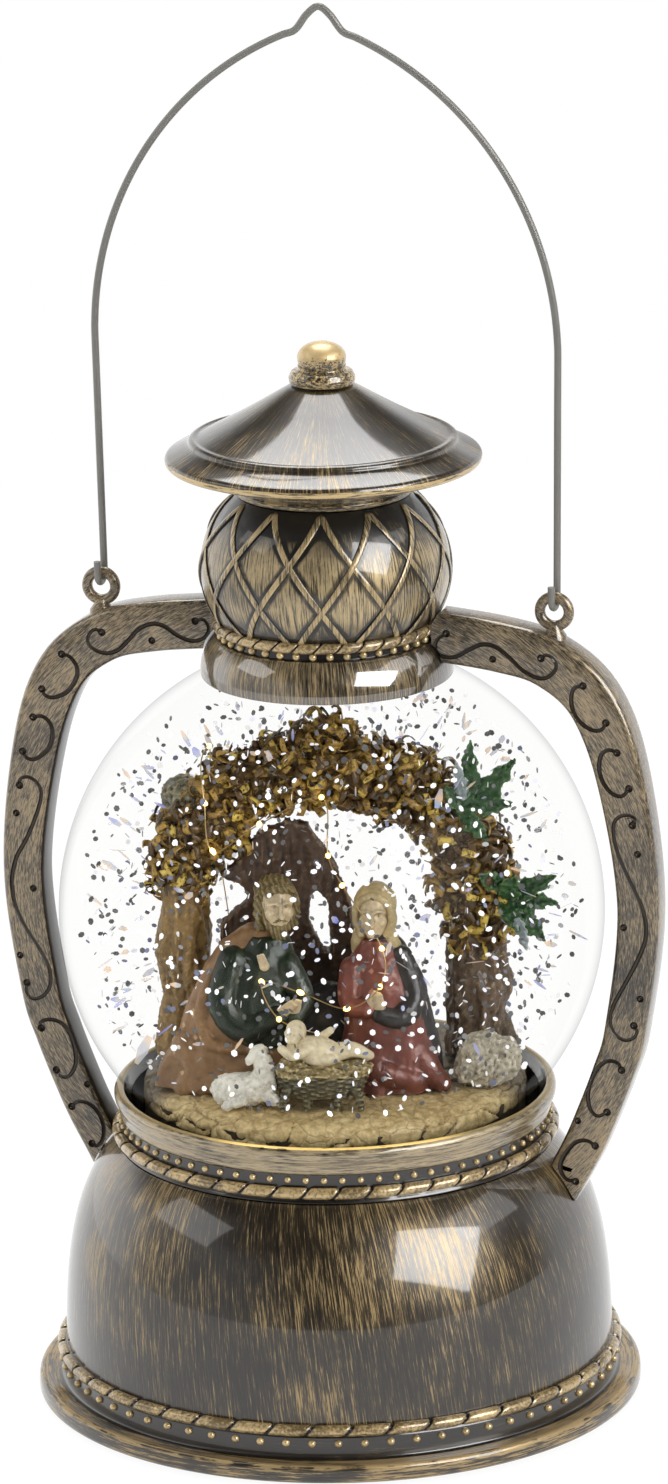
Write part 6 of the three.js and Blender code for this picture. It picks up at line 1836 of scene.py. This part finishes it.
clay("woman_hands", [
    *hand((6.6, -16.6, 78.2), (8, -17.4, 81.6), 1.1), *hand((8.6, -17, 77.6), (8.2, -17.8, 81.2), 1.1),
], skin_paint, "woman_figure", 0.2, 1)

# %% [markdown]
# The infant lies in a wicker manger filled with hay, and a lamb rests beside it. Single twigs and
# curls would be lost at this size, so weave and fleece are waves and cells worked into the clay.

# %% Manger
MANGER = Vector((-2.5, -23, GROUND_Z))


def woven(p, n):
    """Twigs woven round the manger: ridges that swap in and out."""
    around = math.atan2((p.y - MANGER.y) * 1.7, p.x - MANGER.x)
    level = (p.z - GROUND_Z) * 2.1
    return 0.28 * math.sin(around * 15) * math.cos(level * math.pi) + 0.12 * rough(p, 1, 71)


clay("manger_basket", [
    robe([(*MANGER.xy, 64.4, 6.8, 3.9), (*MANGER.xy, 66, 8, 4.7), (*MANGER.xy, 68.6, 9, 5.2)], 0, 0, 72),
    *[limb([(MANGER.x + x, MANGER.y + y, 66), (MANGER.x + x * 1.16, MANGER.y + y * 1.1, GROUND_Z + 0.5)], [0.9, 0.7])
      for x in (-6.2, -2.2, 2.4, 6.2) for y in (-3.2, 3.2)],
], wicker_paint, "manger", 0.26, 1, woven)
clay("hay_bed", [
    lump(MANGER.x, MANGER.y, 69, 8.8, 5, 1.7), lump(-7, -23.5, 69.6, 3.4, 3.4, 1.6), lump(3, -24, 69.4, 4, 3.2, 1.5),
], hay_paint, "manger", 0.26, 1, lambda p,
n: 0.6 * rough(Vector((p.x * 0.4, p.y, p.z * 2)), 1.2, 73) + 0.3 * rough(p, 0.8, 74))
print("manger middle mm:", tuple(MANGER))

# %% Infant
INFANT_HEAD = (-7.1, -23.2, 76)
infant_body = clay("infant_body", [
    placed(bare_head(), INFANT_HEAD, 5.3, -24, -38),
    lump(-3, -23.4, 72.6, 5, 2.6, 2.7, (0, 12, 0)),
    limb([(-4.6, -25, 73.6), (-7.6, -26.2, 72.6), (-9.6, -26.4, 74)], [1.1, 1, 0.8]),
    limb([(-3.4, -22, 74), (-0.6, -22.6, 76.2)], [0.9, 0.7]), lump(-2.2, -24.4, 71.6, 3.6, 2.2, 1.6),
    limb([(0.4, -23.8, 72.4), (3.4, -24.8, 73.2), (6.4, -24.2, 71.8)], [1.8, 1.4, 0.9]),
    limb([(0.4, -22.6, 71.4), (3.2, -22.4, 71.9), (5.8, -22.8, 71)], [1.5, 1.2, 0.8]),
], cream_paint, "infant", 0.16, 2, head_work(INFANT_HEAD, 5.3, -24))
print("infant faces:", len(infant_body.data.polygons))

# %% Lamb
LAMB_HEAD = Vector((-14, -24.2, 72.4))


def curly(p, n):
    """Fleece: small round curls on the body, smooth on the face."""
    calm = min(1, (p - LAMB_HEAD).length / 2.2) ** 3
    cell = noise.voronoi(p / 1.15)[0][0]
    return calm * (0.3 - 0.55 * cell)


lamb_body = clay("lamb_body", [
    lump(-16.6, -22.6, 65.3, 6.2, 3.1, 3.1), lump(-19.4, -22.6, 65.2, 3.2, 2.7, 3.1),
    lump(-13.2, -23.4, 66.6, 2.6, 2.4, 3.4),
    limb([(-12.8, -23.8, 67.4), (-13, -24.2, 70.8)], [2.2, 1.7]),
    lump(*LAMB_HEAD, 1.6, 1.5, 1.9, (0, 30, 0)), lump(-15.3, -24.6, 71.6, 1.1, 1, 1),
    limb([(-13.2, -22.8, 73.2), (-12.4, -22, 72.3)], [0.6, 0.4]),
    limb([(-13.4, -25.4, 73.2), (-12.6, -26.4, 72.2)], [0.6, 0.4]),
    limb([(-12.4, -25, 64.6), (-9.6, -25.6, 63.2)], [1.2, 0.8]),
    limb([(-17, -25.2, 64), (-20, -25.6, 62.9)], [1.2, 0.8]),
], fleece_paint, "lamb", 0.2, 1, curly)
print("lamb faces:", len(lamb_body.data.polygons))

# %% [markdown]
# The light string is a thin varnished wire with tiny warm LEDs cast in drops of clear resin. It
# rises behind the scene, runs over the roof and hangs down among the figures. Wire and drops are
# two pieces, since only the drops glow.

# %% Light string
string_route = [
    (-19.57, 21.96, 59.8), (-19.57, 21.96, 66), (-19, 18.5, 82), (-21, 16.4, 100), (-22, 14.5, 112), (-22, 7, 122),
    (-23.5, 1, 120.5), (-23, -3, 114), (-21.6, -3.9, 105), (-13, -4, 110), (-1.5, -4, 115), (-0.5, -4.6, 104),
    (2, -12, 100.5), (9, -17.4, 90), (8.5, -18.4, 83), (2.4, -18.6, 79), (-6, -17.8, 82), (-13, -17.4, 84),
    (-10, -18, 77), (-2, -17.2, 73.5),
]
LIT = (5, 7, 8, 9, 10, 11, 12, 13, 14, 15, 16, 17, 18, 19)
string_line, _ = even_curve(string_route, 260)
turned_line = [tuple(Matrix.Rotation(TURN, 3, "Z") @ Vector(p)) for p in string_line]
string_copper = plain("string_copper", (0.62, 0.44, 0.2), 0.35, 0.9, 1800, 0.02)
string_wire = new_piece("string_wire", *tube(turned_line, 0.12, 8), string_copper)
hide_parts("light_string")

glow = Finish("led_glow")
core = glow.add("ShaderNodeLayerWeight", {}, {"Blend": 0.5}, out="Facing")
warm = glow.blend(glow.step(core, 0.15, 0.75), (1.0, 0.8, 0.36), (1.0, 0.58, 0.08))
flicker = glow.noise(900.0, 2.0) * 0.3 + 0.85
led_glow = glow.done(
    glow.surface(base_color=(0.9, 0.7, 0.35), roughness=0.2, emission_color=warm, emission_strength=5.0,
                 normal=glow.bump(flicker, 0.1, 0.05))
)
drops = []
for stop in LIT:
    x, y, z = Matrix.Rotation(TURN, 3, "Z") @ Vector(string_route[stop])
    drops.append(lump(x, y, z, 0.5, 0.5, 0.75, (stop * 23, stop * 41, 0), 16, 10))
led_drops = new_piece("led_drops", *merged(*drops), led_glow)
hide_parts("light_string")
print("led drops:", len(LIT))

# %% [markdown]
# The glitter is punched from silver film: hexagons about a millimetre across, and slimmer slivers.
# They float everywhere in the water. Each flake is a painted glint or painted shade by chance: over
# the white backdrop the dark ones show, over the dark figures the bright ones do, which glow a little.
# Close to the glass, coloured splinters that point outwards are painted glints of light the water bends.

# %% Glitter
glitter = Growth("glitter", flakes=5200, room=46.6, flake_radius=0.62, floor=63.2, seed=4)
flakes, room, flake_radius, floor, seed = glitter.sizes()
room = room * MM
spots = glitter.add(
    "GeometryNodePoints", {}, {"Count": flakes, "Position": chance(glitter, (-0.0466,) * 3, (0.0466,) * 3, seed)}
)
x, y, z = glitter.place_of()
far = (x * x + y * y + z * z).maths("SQRT")
spread = (room / far) ** 0.4  # the round wall shows more flakes near the glass
outside = far.maths("GREATER_THAN", room).maths(
    "MAXIMUM", (z * spread + GLOBE_Z * MM).maths("LESS_THAN", floor * MM)
)
spots = glitter.add("GeometryNodeDeleteGeometry", {"domain": "POINT"}, {"Geometry": spots, "Selection": outside})
spots = glitter.moved(spots, x * spread, y * spread, z * spread)
film = glitter.add(
    "GeometryNodeMeshCylinder", {},
    {"Vertices": 6, "Radius": flake_radius * MM, "Depth": 0.06 * MM},
)
flakes = glitter.add("GeometryNodeInstanceOnPoints", {}, {
    "Points": spots, "Instance": film, "Rotation": chance(glitter, (0.0, 0.0, 0.0), (6.28, 6.28, 6.28), 7),
    "Scale": chance(glitter, (0.6, 0.6, 1.0), (1.1, 1.1, 1.0), 8),
})
# each flake's random tone picks a painted glint or painted shade in its finish
tone = glitter.add("FunctionNodeRandomValue", {"data_type": "FLOAT"}, {"Seed": 15}, out=1)
flakes = glitter.marked(flakes, "tone", tone, "INSTANCE")
in_globe = glitter.vector(0.0, 0.0, GLOBE_Z * MM)
glitter.close(glitter.add("GeometryNodeTransform", {}, {"Geometry": flakes, "Translation": in_globe}))


print("glitter inputs:", list(glitter.keys))

# %% Silver film
def glint_film_finish():
    finish = Finish("silver_film")
    tone = finish.attribute("tone")
    grain = finish.noise(2500.0, 2.0)
    # painted glint and painted shade: a random tone makes a flake near white or near black, and the emission lets
    # the bright ones glow
    bright = finish.step(tone, 0.5, 0.56)
    grey = finish.blend(bright, (0.1, 0.1, 0.1), (0.97, 0.97, 0.98))
    hue = finish.step((tone * 7).maths("FRACT"), 0.86, 0.9)
    grey = finish.blend(hue * 0.25, grey, (0.35, 0.4, 0.75))
    return finish.done(
        base_color=grey, metallic=0.35 - bright * 0.3, roughness=0.35 + (grain - 0.5) * 0.2,
        emission_color=grey, emission_strength=0.5, normal=finish.bump(grain, 0.1, 0.01),
    )


silver_film = glint_film_finish()
flake_cloud = glitter.grow("glitter_flakes", silver_film, smooth=False)
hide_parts("globe_glass")
print("flake faces:", len(flake_cloud.data.polygons))

# %% Edge splinters, painted glints
# painted glints: coloured splinters by the glass stand in for light bent by the water, and glow a little
rng = random.Random(11)
splinters = []
for _ in range(170):
    angle, high = rng.uniform(0, 2 * math.pi), rng.uniform(-0.45, 0.92)
    out = Vector((math.cos(angle) * math.sqrt(1 - high * high), math.sin(angle) * math.sqrt(1 - high * high), high))
    middle = Vector((0, 0, GLOBE_Z)) + out * rng.uniform(39, 46.5)
    if middle.z < 66:
        continue
    run = (out + Vector([rng.uniform(-0.5, 0.5) for _ in range(3)])).normalized()
    side = run.cross(Vector([rng.uniform(-1, 1) for _ in range(3)])).normalized()
    face = run.cross(side) * 0.03
    long, wide = rng.uniform(0.5, 1.9), rng.uniform(0.25, 0.65)
    if rng.random() < 0.12:
        long, wide = long * 1.5, wide * 1.9
    corners = [middle + run * long * a + side * wide * b + face * c for c in (1, -1)
               for a, b in ((-1, -0.6), (0, -1), (1, -0.3), (1, 0.4), (0, 1), (-1, 0.5))]
    faces = [(0, 1, 2, 3, 4, 5), (11, 10, 9, 8, 7, 6)]
    faces += [(i, i + 6, (i + 1) % 6 + 6, (i + 1) % 6) for i in range(6)]
    splinters.append(([tuple(c) for c in corners], faces))


def splinter_glint_finish():
    finish = Finish("splinter_film")
    hues = finish.noise(160.0, 1.0)
    ramp = finish.add("ShaderNodeValToRGB", {"stops": [
        (0.3, (0.3, 0.34, 0.8)), (0.42, (0.5, 0.52, 0.75)), (0.5, (0.6, 0.6, 0.62)), (0.58, (0.95, 0.68, 0.42)),
        (0.7, (0.45, 0.6, 0.85)),
    ]}, {0: hues})
    return finish.done(
        base_color=ramp, roughness=0.3, alpha=0.5, emission_color=ramp, emission_strength=0.25,
        normal=finish.bump(hues, 0.1, 0.01)
    )


splinter_film = splinter_glint_finish()
edge_glint_splinters = new_piece("edge_glint_splinters", *merged(*splinters), splinter_film)
for face in edge_glint_splinters.data.polygons:
    face.use_smooth = False
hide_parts("globe_glass")
print("splinters:", len(splinters))

# %% [markdown]
# The inside of the base never shows in the photograph, but it does when the lantern is opened.
# Its pieces keep their CAD shapes and get finishes of their own: moulded plastic, rubber, plated
# steel, printed sleeve and board.

# %% Finishes for the inner pieces
def dressed(finish, *nodes):
    for node in nodes:
        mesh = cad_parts[node].data
        mesh.materials.clear()
        mesh.materials.append(finish)


black_plastic = plain("black_plastic", (0.012, 0.012, 0.012), 0.45, 0.0, 1500, 0.05)
dressed(black_plastic, "base_plate", "battery_door", "motor_bracket", "switch_slider", "impeller_grille")
dressed(plain("foot_rubber", (0.045, 0.043, 0.04), 0.85, 0.0, 2500, 0.08), *[f"foot_{i}" for i in range(1, 5)])
dressed(plain("gasket_rubber", (0.06, 0.058, 0.055), 0.75, 0.0, 2000, 0.05), "neck_gasket", "motor_lead",
        "light_lead")
dressed(plain("stopper_rubber", (0.05, 0.038, 0.022), 0.6, 0.0, 1500, 0.06), "stopper")
dressed(
    plain("zinc_steel", (0.48, 0.48, 0.47), 0.32, 0.95, 2500, 0.02), "motor", "motor_shaft", "switch_body",
    "tie_screw",
    "arm_screw_left", "arm_screw_right", *[f"case_screw_{i}" for i in range(1, 5)],
)
dressed(
    plain("nickel_spring", (0.62, 0.6, 0.55), 0.22, 0.97, 2500, 0.02), "spring_terminal", "link_strap_left",
    "link_strap_right", "button_terminal",
)
dressed(plain("magnet_disc", (0.2, 0.2, 0.21), 0.4, 0.6, 1800, 0.04), "drive_rotor")
dressed(plain("clear_paddle", (0.72, 0.76, 0.76), 0.2, 0.0, 1200, 0.03), "impeller")
print("plain inner finishes set")

# %% Cells
def sleeve_finish():
    finish = Finish("cell_sleeve")
    length = finish.x.maths("ABSOLUTE")
    band = finish.step(length, 0.0165, 0.0168)
    cap_end = finish.step(length, 0.0243, 0.0246)
    fine = finish.noise(1200.0, 2.0)
    colour = finish.blend(band, (0.03, 0.035, 0.04), (0.5, 0.34, 0.12))
    colour = finish.blend(cap_end, colour, (0.55, 0.55, 0.54))
    return finish.done(finish.surface(base_color=colour, metallic=cap_end * 0.9, roughness=0.3 + (fine - 0.5) * 0.1,
                                      coat_weight=0.4, normal=finish.bump(fine, 0.2, 0.02)))


dressed(sleeve_finish(), "cell_1", "cell_2", "cell_3")
print("cells dressed")

# %% Circuit board
def board_finish():
    finish = Finish("green_board")
    tracks = finish.noise(500.0, 2.0)
    high = finish.step(finish.z, 0.0098, 0.0101)
    colour = finish.blend(finish.step(tracks, 0.48, 0.53), (0.01, 0.07, 0.025), (0.03, 0.14, 0.05))
    colour = finish.blend(high, colour, (0.02, 0.02, 0.02))
    return finish.done(finish.surface(base_color=colour, roughness=0.4, coat_weight=0.5,
                                      normal=finish.bump(tracks, 0.2, 0.03)))


dressed(board_finish(), "circuit_board")
print("dressed nodes left as CAD:", sum(o.type == "MESH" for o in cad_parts.values()))
